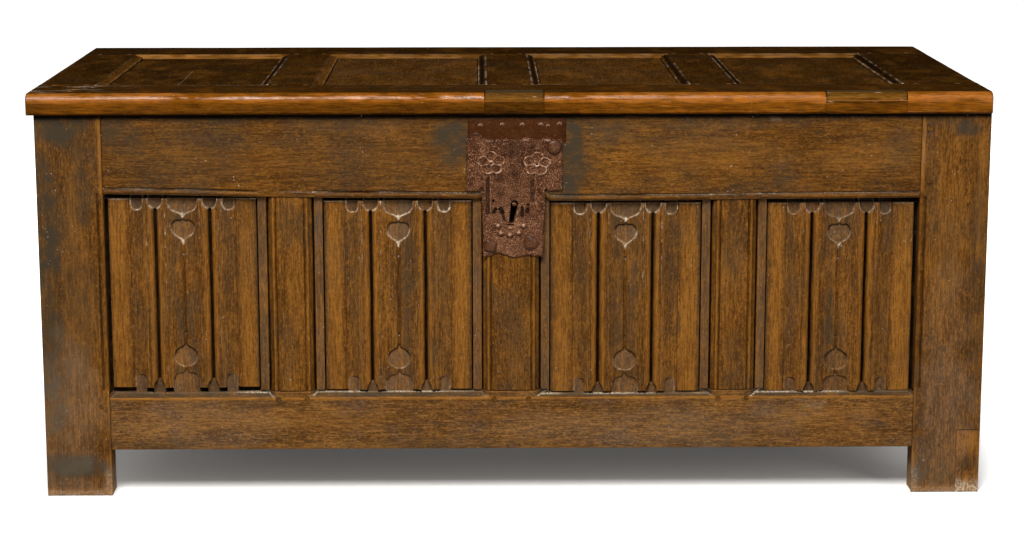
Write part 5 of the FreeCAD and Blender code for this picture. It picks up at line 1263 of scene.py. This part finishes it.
# Each feature: start x and z, end x and z, radius, lift (all in mm), grime, shine.
PLATE_FEATURES = (
    (-41.6, 514, -41.6, 460, 3.3, -1.5, 0.75, 0.0), (28.0, 513, 28.0, 478, 3.2, -1.4, 0.6, 0.0),
    (-33.3, 479.4, -33.3, 479.2, 2.1, -2.2, 1.8, 0.0), (21.8, 473.1, 21.8, 472.9, 2.0, -2.2, 1.8, 0.0),
    (-31.8, 461.3, -29.6, 465.6, 2.7, -2.2, 1.8, 0.0), (19.9, 461.3, 21.4, 465.9, 2.7, -2.2, 1.8, 0.0),
    (-21.6, 466.4, -19.0, 460.5, 3.6, -1.6, 1.15, 0.0), (-19.0, 460.5, -16.0, 449.5, 2.3, -1.4, 0.95, 0.0),
    (12.2, 467.3, 12.2, 456, 3.1, -1.6, 1.15, 0.0), (-12.6, 463, -9.0, 447, 1.5, 0.9, 0.0, 0.5),
    (5.4, 463, 3.0, 447, 1.5, 0.9, 0.0, 0.5), (-26.5, 467, -23.0, 470.4, 1.2, 0.8, 0.0, 0.6),
    (-11.5, 441.3, -1.2, 441.3, 0.9, -1.6, 1.3, 0.0), (-27.5, 441.0, 15.5, 441.0, 3.0, 0.5, 0.0, 0.1),
    (-21.0, 434, 8.0, 434, 10.5, 1.2, 0.0, 0.1), (-25.8, 439.3, -25.3, 439.3, 4.4, 2.6, 0.0, 0.85),
    (-21.3, 427.6, -21.0, 427.6, 4.6, 2.9, 0.0, 0.9), (-7.5, 424.7, -7.3, 424.7, 4.7, 3.1, 0.0, 0.95),
    (7.0, 428.3, 7.2, 428.3, 4.3, 2.8, 0.0, 0.85), (14.3, 439.3, 14.8, 439.3, 4.2, 2.6, 0.0, 0.85),
    (-7.5, 435.8, -4.8, 435.8, 2.6, 1.6, 0.0, 0.6), (-34.7, 560.5, -34.7, 568.5, 1.2, 1.0, 0.0, 0.7),
    (-38.5, 564.5, -31.0, 565.0, 1.0, 0.9, 0.0, 0.5), (35.0, 559.5, 35.0, 567.0, 1.2, 1.0, 0.0, 0.7),
    (31.5, 562.2, 38.5, 562.2, 1.0, 0.9, 0.0, 0.5), (-44.5, 574.0, -38.0, 573.0, 2.4, 1.2, 0.0, 0.6),
    (-16.0, 575.6, -10.0, 575.6, 1.4, 0.9, 0.0, 0.6), (14.0, 575.6, 22.0, 575.0, 1.8, 1.1, 0.0, 0.7),
    (47.5, 575.0, 55.0, 574.5, 2.6, 1.3, 0.0, 0.8),
)
# Each flower: its middle and its turn; each stem: start x and z, end x and z, radius, lift.
FLOWERS = ((-36.3, 539.3, 0.06), (35.3, 537.9, -0.10))
PETAL_REACH = 10.6
PETAL_RADIUS = 8.8
FLOWER_SQUEEZE = 0.86
FLOWER_STEMS = ((-37.6, 524, -37.6, 460.5, 1.0, 0.9), (38.7, 522, 38.7, 466, 5.0, 1.1))
# Each nail: x from the plate's middle, height z, radius, how far it stands, square, turn, dent, ripple.
PLATE_NAILS = (
    (62.6, 564.8, 12.4, 6.4, 0, 0.0, 0.05, 0.0), (-60.4, 573.4, 12.0, 1.5, 0, 0.0, 0.30, 0.5),
    (26.0, 412.0, 12.2, 4.2, 0, 0.0, 0.08, 0.9), (-37.8, 407.0, 9.6, 5.4, 1, -0.27, 0.04, 0.0),
)
STRIP_NAILS = ((-53.2, 598.5, 2.2), (-19.1, 600.2, 1.7), (12.2, 599.4, 2.2), (41.3, 600.0, 2.1),
               (52.5, 597.8, 1.6), (70.4, 600.6, 2.2))


def stroke(u, v, feature):
    """Distance in mm from the line of a feature: its start and its end."""
    start_u, start_v, end_u, end_v = feature[:4]
    run_u, run_v = end_u - start_u, end_v - start_v
    part = np.clip(((u - start_u) * run_u + (v - start_v) * run_v) / (run_u ** 2 + run_v ** 2), 0, 1)
    return np.hypot(u - start_u - part * run_u, v - start_v - part * run_v)


def plate_outline(x, z):
    """Distance outside the plate: wide on the rail, narrow over the muntin, torn along its foot."""
    u, v = lock_place(x, z)
    foot, head = (np.interp(u, *zip(*edge)) for edge in (TORN_FOOT, SCALLOPS))
    part = np.clip((v - 392) / 105, 0, 1)
    narrow = np.maximum(outside(u, -49.7 - 1.6 * part, 45.4 + 4.0 * part), outside(v, foot, 520))
    wide = np.maximum(np.abs(u - 0.1) - 75.7, outside(v, 494.6, head))
    body = np.minimum(narrow, wide)
    for height, size, seed in ((0.7, 0.012, 5), (0.4, 0.004, 6), (0.3, 0.002, 7)):
        body += height * flat_noise(x, z, size, seed)
    for corner_u, corner_v in ((-52.0, 497.6), (50.6, 495.4)):
        body = np.maximum(body, 2.6 - np.hypot(u - corner_u, v - corner_v))
    return np.maximum(body, -keyhole_distance(x, z)) * MM


def plate_height(x, z):
    u, v = lock_place(x, z)
    lift = PLATE_IRON + 0.25 * flat_noise(x, z, 0.030, 8) - 0.22 * np.abs(flat_noise(x, z, 0.0032, 9))
    lift += 0.5 * ramp(u, -38.6, -37.8) * ramp(u, 32.6, 31.6) * ramp(v, 452, 462) * ramp(v, 522, 514)
    for feature in PLATE_FEATURES:
        radius, rise = feature[4:6]
        away = stroke(u, v, feature) / radius
        lift += rise * (np.sqrt(np.clip(1 - away ** 2, 0, 1)) if rise > 0 else ramp(away, 1.15, 0.8))
    boss = np.hypot(u + 4.2, v - 533.5)
    lift += 1.2 * bump(boss - 4.2, 1.1) + 0.9 * bump(boss, 2.2)
    lift += 0.8 * bump(keyhole_distance(x, z) - 1.6, 1.2) * (v < 470)
    lift -= 0.9 * bump(plate_outline(x, z) / MM, 0.8)
    return lift * MM


def plate_marking(x, z):
    u, v = lock_place(x, z)
    patchy = ramp(flat_noise(x, z, 0.005, 17), -0.35, 0.4)
    marks = {
        "grime": 0.55 * ramp(flat_noise(x, z, 0.018, 12), 0.25, 0.8),
        "wear": 0.35 * ramp(flat_noise(x, z, 0.026, 13), 0.1, 0.7),
        "dust": np.zeros(len(x)),
    }
    for feature in PLATE_FEATURES:
        start_u, start_v, _, end_v, radius, rise, dark, shiny = feature
        away = stroke(u, v, feature) / radius
        at_least(marks, "grime", dark * ramp(away, 1.15, 0.75))
        at_least(marks, "wear", shiny * ramp(away, 1.1, 0.6))
        # Painted highlight: pale on the upper side of each raised feature.
        if shiny > 0.4:
            upper = ramp((v - end_v) / radius, -0.2, 0.6)
            at_least(marks, "dust", 0.7 * bump(away - 0.25, 0.35) * patchy * upper)
        # Painted shadow just below each tall boss, and a painted highlight high on its crown.
        if rise > 1.5:
            at_least(marks, "grime", 0.8 * bump(away - 1.15, 0.2) * ramp(end_v - v, -1, 1))
            crown = np.hypot(u - start_u, v - start_v - 0.35 * radius) / radius
            at_least(marks, "dust", 0.95 * ramp(crown, 0.6, 0.25))
    lighter = 0.45 * ramp(v, 480, 395) + 0.60 * bump(u + 3, 34) * ramp(v, 520, 500)
    lighter += 0.5 * bump(np.hypot(u - 62, (v - 520) * 0.6), 14)
    at_least(marks, "wear", lighter * (0.55 + 0.9 * ramp(flat_noise(x, z, 0.012, 28), -0.4, 0.6)))
    murky = bump(u - 4, 34) * bump(v - 560, 24)
    at_least(marks, "grime", 0.5 * bump(plate_outline(x, z) / MM + 0.8, 1.0))
    at_least(marks, "grime", (0.50 + 0.4 * flat_noise(x, z, 0.009, 26)) * murky)
    at_least(marks, "dust", 0.55 * bump(u - 34.0, 0.9) * (v > 468) * (v < 524) * patchy)
    return marks


def flower_parts(u, v):
    """Distance in mm outside the two flowers, to the nearest raised rim and to the nearest middle."""
    away, rim, middle = np.full((3, len(u)), 99.0)
    for centre_u, centre_v, turn in FLOWERS:
        angles = math.pi / 2 + turn + np.arange(5)[:, None] * 2 * math.pi / 5
        petals = np.hypot((u - centre_u) * FLOWER_SQUEEZE - PETAL_REACH * np.cos(angles),
                          v - centre_v - PETAL_REACH * np.sin(angles)) - PETAL_RADIUS
        first, second = np.sort(petals, axis=0)[:2]
        nearest = np.minimum(np.abs(first + 1.0), (second - first) / 1.3)
        away = np.minimum(away, first)
        rim = np.where(first < 1, np.minimum(rim, nearest), rim)
        middle = np.minimum(middle, np.hypot(u - centre_u, v - centre_v))
    return away, rim, middle


def flower_outline(x, z):
    u, v = lock_place(x, z)
    away = flower_parts(u, v)[0]
    for stem in FLOWER_STEMS:
        away = np.minimum(away, stroke(u, v, stem) - stem[4])
    return (away + 0.3 * flat_noise(x, z, 0.005, 15)) * MM


def flower_height(x, z):
    u, v = lock_place(x, z)
    away, rim, middle = flower_parts(u, v)
    lumpy = 1 + 0.5 * flat_noise(x, z, 0.0045, 27)
    lift = PLATE_IRON + 0.35 - 0.2 * np.abs(flat_noise(x, z, 0.003, 16))
    lift += (away < 0.8) * (2.2 * bump(rim, 1.5) * lumpy + 2.0 * bump(middle, 2.0) - 0.5)
    lift += 1.0 * bump(middle - 3.6, 0.9)
    for stem in FLOWER_STEMS:
        lift += stem[5] * np.sqrt(np.clip(1 - (stroke(u, v, stem) / stem[4]) ** 2, 0, 1))
    return lift * MM


def flower_marking(x, z):
    u, v = lock_place(x, z)
    away, rim, middle = flower_parts(u, v)
    patchy = ramp(flat_noise(x, z, 0.0038, 19), -0.05, 0.45)
    near, clear = away < 1.4, away > 0.5
    in_petal = (away < 0) * ramp(rim, 1.4, 2.8)
    on_stem = (stroke(u, v, FLOWER_STEMS[0]) < FLOWER_STEMS[0][4]) * clear
    left_edge = 0.35 * bump(u - 34.3, 0.9) * clear
    rubbed = 0.85 * bump(rim, 1.7) * near + 0.8 * bump(middle - 3.0, 1.3) + 0.30 * on_stem + left_edge
    return {
        "grime": in_petal * (0.42 + 0.35 * ramp(flat_noise(x, z, 0.006, 18), 0.3, 0.8)),
        "wear": 1.3 * bump(rim, 2.4) * near + 0.9 * on_stem + left_edge,
        "dust": rubbed * patchy,
    }


def strip_outline(x, z):
    low, high = (corner / MM for corner in STRIP)
    away = np.maximum(outside(x / MM, low[0], high[0]), outside(z / MM, 572, high[2]))
    return (away + 0.6 + 0.5 * flat_noise(x, z, 0.020, 21)) * MM


def strip_height(x, z):
    lift = STRIP_IRON + 0.18 * flat_noise(x, z, (0.05, 1, 0.012), 22)
    return (lift - 0.6 * bump(strip_outline(x, z) / MM, 0.7)) * MM


def strip_marking(x, z):
    u, v = lock_place(x, z)
    smoky = ramp(flat_noise(x, z, (0.030, 1, 0.012), 24), 0.0, 0.6)
    ring, pit = np.zeros((2, len(x)))
    for across, height, radius in STRIP_NAILS:
        away = np.hypot(u - across, v - height) - radius
        # Painted highlight: a pale arc on the upper side of each nail head; a dark pit lies just beyond it.
        upper = ramp((v - height) / radius, -0.6, 0.4)
        ring = np.maximum(ring, 0.8 * upper * bump(away - 0.4, 0.9))
        pit = np.maximum(pit, 0.9 * upper * bump(away - 1.6, 1.0))
    return {
        "grime": 0.4 * smoky + 0.5 * bump(strip_outline(x, z) / MM + 0.5, 1) + pit,
        "wear": 0.08 * ramp(v, 592, 606) + ring,
        "dust": ring,
    }


def iron_piece(name, mesh, smooth, iron):
    """An iron piece of the front, standing for the node of its name."""
    finish_piece(new_mesh(name, *mesh, smooth), "carcase", iron, [name])


class COFFER_OT_lock_plate(bpy.types.Operator):
    """The rusted lock plate, its flowers, the strip above it and their nails"""
    bl_idname = "coffer.lock_plate"
    bl_label = "Lock plate"

    def execute(self, context):
        rusted = material("rusted_iron", rusted_iron)
        (left, _, _), (right, _, _) = node_box("lock_plate")
        mesh = sheet((left - 4 * MM, 386 * MM), (right + 4 * MM, 583 * MM), context.scene.coffer_iron.cell,
                     plate_outline, plate_height, plate_marking)
        iron_piece("lock_plate", mesh, 50, rusted)
        mesh = sheet((left, 455 * MM), (right, 560 * MM), 0.55 * MM, flower_outline, flower_height,
                     flower_marking, -1.5 * MM)
        iron_piece("lock_flowers", mesh, 60, rusted)
        mesh = sheet((STRIP[0][0] - 2 * MM, 570 * MM), (STRIP[1][0] + 2 * MM, 614 * MM), 1.6 * MM,
                     strip_outline, strip_height, strip_marking)
        smooth = material("smooth_iron", rusted_iron, 0.12, 0.40, 1.0)
        iron_piece("lock_top_strip", mesh, 50, smooth)
        heads = []
        for index, (across, z, radius, height, square, turn, dent, ripple) in enumerate(PLATE_NAILS):
            centre = (LOCK_X + across * MM, FRONT - (PLATE_IRON - 0.6) * MM, z * MM)
            heads.append(dome(centre, radius * MM, height * MM, 130 + index, square, turn, dent, ripple * MM))
        for index, (across, z, radius) in enumerate(STRIP_NAILS):
            centre = (LOCK_X + across * MM, FRONT - (STRIP_IRON - 0.4) * MM, z * MM)
            heads.append(dome(centre, radius * MM, 1.2 * MM, 140 + index, sides=12, rings=4))
        nail_iron = material("nail_iron", rusted_iron, 0.35, 0.60, 1.0, 0.16)
        iron_piece("lock_nails", merged(heads), 40, nail_iron)
        return {"FINISHED"}


# --------------------------------------------------------------------------- the lid

LID_FRONT = node_box("lid_front_rail")
LID_BACK = node_box("lid_back_rail")
LID_OPENING = (LID_FRONT[1][1], LID_BACK[0][1])
LID_EDGES = [node_box("lid_stile_left")[1][0],
             *(corner[0] for side in SIDES for corner in node_box(f"lid_muntin_{side}")),
             node_box("lid_stile_right")[0][0]]
LID_BAYS = list(zip(LID_EDGES[0::2], LID_EDGES[1::2]))
BEVEL_WIDTH = 13 * MM
BEVEL_DEPTH = 5 * MM
NOSE = 12 * MM
# Mesh lines across the bevels and the nose, in mm.
BEVEL_LINES = (0, 0.8, 2, 4.5, 7, 9.5, 12.2, 13, 13.8, 15)
NOSE_LINES = (0.3, 0.8, 1.5, 2.6, 4, 5.6, 7.4, 9.4, 11.2, 12, 13)
# Each patch let into the lid's front edge: start and end along the lid and its width, in mm.
LID_PATCHES = ((-41.75, 52.25, 46), (491.75, 619.75, 30))
PATCH_FOOT = 635 * MM
# Each upright of the lid's frame and its tone; each sunk panel's grey film and tone.
LID_UPRIGHTS = (("lid_stile_left", 0.22), ("lid_stile_right", 0.20), ("lid_muntin_left", 0.28),
                ("lid_muntin_centre", 0.26), ("lid_muntin_right", 0.25))
LID_PANELS = ((0.04, 0.22), (0.36, 0.44), (0.18, 0.42), (0.08, 0.32))


def in_patch(points):
    """Where a point lies over one of the lid's patches."""
    x, away = points[:, 0], points[:, 1] - LID_FRONT[0][1]
    return np.any([(x > start * MM) & (x < end * MM) & (away < width * MM)
                   for start, end, width in LID_PATCHES], axis=0)


def nose_relief(points):
    """The rounding of the lid's front edge."""
    return rounding(points[:, 1] - LID_FRONT[0][1], NOSE)


def lid_relief(points):
    """Bevels round the sunk panels, mitred at their corners, and the lid's rounded front edge."""
    x, y = points[:, 0], points[:, 1]
    wobble = 0.5 * MM * lumps(points, 0.05, 97)
    depth = np.zeros(len(x))
    for bay in LID_BAYS:
        own = np.maximum(outside(x, *bay), outside(y, *LID_OPENING))
        depth = np.maximum(depth, BEVEL_DEPTH * (1 - (np.maximum(own, 0) + wobble) / BEVEL_WIDTH))
    return np.maximum(np.clip(depth, 0, BEVEL_DEPTH), nose_relief(points)) + 1.2 * MM * in_patch(points)


def lid_shave(points):
    """How much the lid's front rail stands back behind its patches."""
    return 1.2 * MM * (in_patch(points) & (points[:, 2] > PATCH_FOOT))


def edge_wear_and_highlight(points):
    """Wear and painted highlight on the lid's front edge: its upper half, where the rounded nose turns up to
    the light, is painted brighter.
    """
    x, y, z = points.T
    front = ramp(y - LID_FRONT[0][1], 15 * MM, 8 * MM)
    uneven = 0.78 + 0.50 * rough(points, (0.05, 0.05, 0.010), 71)
    uneven += 0.45 * rough(points, (0.014, 0.01, 0.004), 72)
    # Brighter to the right, and on the upper half of the edge as painted highlight.
    fall = 0.40 + 0.50 * ramp(x, 0.02, 0.25) + 0.6 * ramp(z, 0.631, 0.642)
    polish = 1.15 + 0.55 * ramp(x, -0.48, -0.66)
    mended = 1 - 0.38 * ((x > -0.042) & (x < 0.052)) - 0.25 * ((x > 0.49) & (x < 0.62))
    return polish * front * uneven * fall * mended


def lid_marks(seed):
    """Marks of the lid's frame: dust in the bevels, a painted highlight on the back bevels, a glossy front
    edge partly painted brighter, and a painted shadow along the front edge's lowest 3 mm.
    """
    def marking(points, depth):
        x, y, z = points.T
        away, behind = y - LID_FRONT[0][1], y - LID_BACK[0][1]
        beyond = np.maximum(outside(y, *LID_OPENING), 0)
        ring, leaning = np.full(len(x), 1.0), np.zeros(len(x))
        for low, high in LID_BAYS:
            aside = np.maximum(outside(x, low, high), 0)
            own = np.maximum(aside, beyond)
            beside = (x > high) | (low > LID_BAYS[1][0])
            leaning = np.where(own < ring, beside * (aside >= beyond), leaning)
            ring = np.minimum(ring, own)
        on_rail, on_top, above = y < LID_OPENING[0], away > 14 * MM, z > LID_FRONT[1][2] - 10 * MM
        back = (behind > 0) * (ring < BEVEL_WIDTH)
        broken = ramp(rough(points, 0.03, seed), -0.35, 0.3)
        line = bump(ring - 0.8 * MM, 1.2 * MM) + 0.9 * bump(ring - BEVEL_WIDTH, 1.2 * MM)
        line = 0.75 * line * (0.35 + 0.65 * leaning)
        line += 0.3 * bump(np.hypot(ring - 9 * MM, np.maximum(behind, 0) - 9 * MM), 6 * MM) * (behind > 0)
        line += (0.6 * bump(ring - BEVEL_WIDTH, 1.6 * MM) * on_rail
                 * ramp(y - LID_OPENING[0], -20 * MM, -14 * MM))
        scratched = 0.8 * bump(rough(points, (0.09, 0.004, 1), seed + 9), 0.05)
        scratched *= ramp(x, -0.55, -0.72) * on_rail
        smoky = ramp(rough(points, (0.11, 0.07, 0.1), seed + 5), -0.15, 0.5)
        rubbed = ramp(rough(points, (0.03, 0.06, 0.1), seed + 15), 0.0, 0.6)
        # Painted highlight: the back bevels, which face the front and the lamps, are painted light, most on
        # the left.
        back_bevel_highlight = (0.8 + 0.7 * (x < LID_BAYS[0][1])) * back * above * (0.4 + 0.6 * broken)
        under_strip = (np.abs(x) < 0.105) & (z < 0.6265) & (away < 6 * MM)
        return {
            "dust": (line * broken + scratched * on_top) * above,
            "grime": 0.85 * bump(ring - 6.5 * MM, 5 * MM) * leaning * above
            # Painted shadow: the lowest 3 mm of the lid's front edge is darkened.
            + 0.6 * ramp(z, 0.6205, 0.6175) * (away < 20 * MM) + 0.25 * under_strip,
            "wear": edge_wear_and_highlight(points) + 0.30 * bump(ring - 6 * MM, 6 * MM) * (1 - leaning) + back_bevel_highlight
            + 0.22 * rubbed * on_top,
            "haze": 0.12 * smoky * ramp(away, 14 * MM, 40 * MM) * (1 - back),
        }
    return marking


def sunk_marks(seed, film, cracked):
    """Marks of a sunk lid panel: greenish haze, dust along its edges and perhaps a crack."""
    def marking(points, depth):
        low, high = points[:, :2].min(axis=0), points[:, :2].max(axis=0)
        edge = -outside(points[:, :2], low, high).max(axis=1) - PANEL_TONGUE
        smoky = ramp(rough(points, (0.08, 0.10, 0.1), seed), -0.35, 0.35)
        rubbed = ramp(rough(points, (0.04, 0.07, 0.1), seed + 11), -0.1, 0.5)
        rubbed += 0.6 * ramp(rough(points, (0.006, 0.03, 0.1), seed + 13), 0.1, 0.6)
        dust = 0.35 * bump(edge - 3 * MM, 1.2 * MM) * ramp(rough(points, 0.03, seed + 2), 0.0, 0.4)
        if cracked:
            wander = 1.5 * MM * lumps(points, 0.05, seed + 7)
            dust += 0.5 * bump(points[:, 0] - low[0] - 0.120 + wander, 0.8 * MM) * (points[:, 1] < 0.02)
        return {"wear": 0.26 * rubbed, "haze": film * smoky, "grime": bump(edge, 2.2 * MM), "dust": dust}
    return marking


def patch_marks(points, depth):
    """Marks of a lid patch: scratched on its edge and black with wax on top."""
    away = points[:, 1] - LID_FRONT[0][1]
    scratches = ramp(rough(points, (0.006, 0.02, 0.002), 75), 0.40, 0.60) * (away < 8 * MM)
    edge = np.min([np.abs(points[:, 0] - place * MM) for patch in LID_PATCHES for place in patch[:2]], axis=0)
    return {
        "haze": 0.95 * ramp(away, 7 * MM, 14 * MM),
        "grime": 0.5 * bump(edge, 1.4 * MM) + 0.4 * ramp(points[:, 2], PATCH_FOOT + 1.6 * MM, PATCH_FOOT),
        "dust": 0.80 * scratches,
        "wear": 0.25 * (away < 10 * MM),
    }


def inset_lines(low, high):
    """Mesh lines just inside both ends of a sunk panel."""
    reaches = np.array((5, 8, 9.5, 11, 13)) * MM
    return [*(low + reaches), *(high - reaches)]


class COFFER_OT_lid(bpy.types.Operator):
    """The framed lid with its four sunk panels and two let-in patches"""
    bl_idname = "coffer.lid"
    bl_label = "Lid"

    def execute(self, context):
        x_lines = [edge + way * line * MM for edge in LID_EDGES for line in BEVEL_LINES for way in (-1, 1)]
        low, high = LID_FRONT
        nose = [low[1] + line * MM for line in NOSE_LINES]
        lines = nose + [high[1] - line * MM for line in BEVEL_LINES]
        lines += [low[1] + (patch[2] + shift) * MM for patch in LID_PATCHES for shift in (-0.2, 0.4)]
        ends = [(place + shift) * MM for patch in LID_PATCHES for place in patch[:2] for shift in (-0.4, 0.2)]
        mesh = board(low, high, "x", "+z", 101, lid_relief, lid_marks(101), lines, x_lines + ends,
                     under=3 * MM, shave=lid_shave)
        oak_piece("lid_front_rail", [mesh], "lid_edge", "x", 0.27, 31.3)
        meshes = []
        for index, (start, end, width) in enumerate(LID_PATCHES):
            patch_low = (start * MM, low[1], PATCH_FOOT)
            patch_high = (end * MM, low[1] + width * MM, high[2])
            meshes.append(board(patch_low, patch_high, "x", "+z", 107 + index, nose_relief, patch_marks, nose,
                                under=0.8 * MM, end_wear=0.3))
        oak_piece("lid_patches", meshes, "patch", "x", (0.40, 0.44, 0.34), 41.9)
        low, high = LID_BACK
        lines = [low[1] + line * MM for line in BEVEL_LINES]
        mesh = board(low, high, "x", "+z", 103, lid_relief, lid_marks(103), lines, x_lines, under=3 * MM)
        oak_piece("lid_back_rail", [mesh], "lid", "x", 0.20, 32.1)
        for index, (name, tone) in enumerate(LID_UPRIGHTS):
            seed = 105 + index
            mesh = board(*cut_box(name, y=LID_OPENING), "y", "+z", seed, lid_relief, lid_marks(seed), x_lines)
            oak_piece(name, [mesh], "lid", "y", tone, 13.0 + index * 2.1)
        for number, (film, tone) in enumerate(LID_PANELS, start=1):
            name, seed = f"lid_panel_{number}", 120 + number
            low, high = node_box(name)
            lines, rows = (inset_lines(low[axis], high[axis]) for axis in (0, 1))
            if number == 1:
                lines += list(low[0] + np.arange(114, 127, 0.8) * MM)
            mesh = board(low, high, "y", "+z", seed, None, sunk_marks(seed, film, number == 1), lines, rows)
            oak_piece(name, [mesh], "lid", "y", tone, 21.0 + number * 3.3)
        return {"FINISHED"}


# --------------------------------------------------------------------------- fittings and stage

FORGED = ("hinge_strap_left", "hinge_strap_right", "hinge_tail_left", "hinge_tail_right", "hinge_pins",
          "lid_nails", "carcase_nails", "lock_case", "bolt_guides", "bolt_spring", "lock_bolt", "lid_staple")
PEGS = ("frame_pegs", "lid_pegs")
# Where the camera stands and how it is turned: yaw, pitch and roll in radians.
CAMERA_PLACE = (-0.04985, -4.06715, 1.0999)
CAMERA_TURN = (0.0139, 0.1933, 0.0005)


class COFFER_OT_fittings(bpy.types.Operator):
    """Finishes for the pieces that keep their modelled shape"""
    bl_idname = "coffer.fittings"
    bl_label = "Hinges, works and pegs"

    def execute(self, context):
        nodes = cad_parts
        for finish, names in (
            (material("forged_iron", forged_iron), FORGED),
            (material("worn_iron", rusted_iron, 1.6, 0.2, 1.0), ("drill_pin",)),
            (oak_material("front", "y"), PEGS),
            (oak_material("floor", "x"), ("floor_boards",)),
        ):
            for name in names:
                nodes[name].data.materials.clear()
                nodes[name].data.materials.append(finish)
        for name in PEGS:
            own_tone(nodes[name], (0.80, 0.84, 0.92), 2.2)
        own_tone(nodes["floor_boards"], 1.15, 17.2)
        return {"FINISHED"}


class COFFER_OT_stage(bpy.types.Operator):
    """Pale floor, soft lamps and the camera"""
    bl_idname = "coffer.stage"
    bl_label = "Stage"

    def execute(self, context):
        scene = context.scene
        stage = scene.coffer_stage
        bpy.ops.mesh.primitive_plane_add(size=60)
        floor = context.object
        floor.name = "floor"
        floor.location = (0, 0, 0)
        paper = Surface("floor_paper")
        spread = paper.vector("ABSOLUTE", paper.stretch(1, (0.02, 0, 0)))
        beyond = paper.vector("MAXIMUM", paper.vector("SUBTRACT", spread, (0.74, 0.37, 0)))
        away = paper.node("ShaderNodeVectorMath", {0: beyond}, operation="LENGTH").outputs["Value"]
        # Painted light: for the camera the floor glows, from floor_lift under the coffer up to full white
        # 0.16 m beyond its footprint, leaving only the shadow close to the coffer.
        lift = paper.between(away, 0.0, 0.16, stage.floor_lift, 1.0)
        seen = paper.node("ShaderNodeLightPath").outputs["Is Camera Ray"]
        floor.data.materials.append(paper.finish(
            Base_Color=paper.blend(seen, (stage.floor_bounce,) * 3, (stage.floor,) * 3),
            Roughness=1.0, Specular_IOR_Level=0.0, Emission_Color=(1, 1, 1),
            Emission_Strength=paper.math("MULTIPLY", lift, seen)))

        scene.world = bpy.data.worlds.new("room")
        room = Recipe(scene.world)
        seen = room.node("ShaderNodeLightPath").outputs["Is Camera Ray"]
        light = room.node("ShaderNodeBackground", {"Color": (1, 0.985, 0.965), "Strength": stage.sky})
        backdrop = room.node("ShaderNodeBackground", {"Color": (1, 1, 1), "Strength": 1.0})
        choose = room.node("ShaderNodeMixShader", {
            "Fac": seen, 1: light.outputs["Background"], 2: backdrop.outputs["Background"],
        })
        room.node("ShaderNodeOutputWorld", {"Surface": choose.outputs["Shader"]})

        for name, place, aim, size, power in (
            ("key_lamp", (-0.6, -2.8, 3.3), (0.0, -0.3, 0.3), 1.6, stage.key),
            ("fill_lamp", (3.0, -3.4, 1.6), (0.1, -0.3, 0.3), 1.8, stage.fill),
            ("rear_lamp_left", (-3.0, 2.8, 0.9), (-0.3, 0.3, 0.3), 1.6, stage.rear),
            ("rear_lamp_right", (3.0, 2.8, 0.9), (0.3, 0.3, 0.3), 1.6, stage.rear),
        ):
            lamp = bpy.data.lights.new(name, "AREA")
            lamp.shape = "SQUARE"
            lamp.size = size
            lamp.energy = power
            lamp.color = (1.0, 0.975, 0.94)
            thing = bpy.data.objects.new(name, lamp)
            scene.collection.objects.link(thing)
            thing.location = place
            thing.rotation_mode = "QUATERNION"
            thing.rotation_quaternion = (Vector(aim) - Vector(place)).to_track_quat("-Z", "Y")

        camera = bpy.data.objects.new("camera", bpy.data.cameras.new("camera"))
        scene.collection.objects.link(camera)
        camera.data.lens = 84.23
        camera.data.sensor_width = 36
        camera.data.clip_end = 200
        camera.location = CAMERA_PLACE
        yaw, pitch, roll = CAMERA_TURN
        camera.rotation_euler = Euler((math.pi / 2 - pitch, roll, -yaw), "XYZ")
        scene.camera = camera
        scene.view_settings.view_transform = "Standard"
        return {"FINISHED"}


class COFFER_PT_sidebar(bpy.types.Panel):
    """The coffer's settings and makers"""
    bl_idname = "COFFER_PT_sidebar"
    bl_label = "Coffer"
    bl_space_type = "VIEW_3D"
    bl_region_type = "UI"
    bl_category = "Coffer"

    def draw(self, context):
        for name, settings in GROUPS.items():
            box = self.layout.box()
            box.label(text=name.removeprefix("coffer_").title())
            for setting in settings.__annotations__:
                box.prop(getattr(context.scene, name), setting)
        for maker in MAKERS:
            self.layout.operator(maker.bl_idname)


GROUPS = {"coffer_oak": OakSettings, "coffer_carving": CarvingSettings, "coffer_iron": IronSettings,
          "coffer_stage": StageSettings}
MAKERS = (COFFER_OT_front_frame, COFFER_OT_linenfold, COFFER_OT_sides, COFFER_OT_lock_plate,
          COFFER_OT_lid, COFFER_OT_fittings, COFFER_OT_stage)


def register():
    for name, group in GROUPS.items():
        bpy.utils.register_class(group)
        setattr(bpy.types.Scene, name, PointerProperty(type=group))
    for maker in MAKERS:
        bpy.utils.register_class(maker)
    bpy.utils.register_class(COFFER_PT_sidebar)


def unregister():
    bpy.utils.unregister_class(COFFER_PT_sidebar)
    for maker in reversed(MAKERS):
        bpy.utils.unregister_class(maker)
    for name, group in GROUPS.items():
        delattr(bpy.types.Scene, name)
        bpy.utils.unregister_class(group)


def main():
    register()
    bpy.ops.coffer.front_frame()
    bpy.ops.coffer.linenfold()
    bpy.ops.coffer.sides()
    bpy.ops.coffer.lock_plate()
    bpy.ops.coffer.lid()
    bpy.ops.coffer.fittings()
    bpy.ops.coffer.stage()


if __name__ == "__main__":
    main()
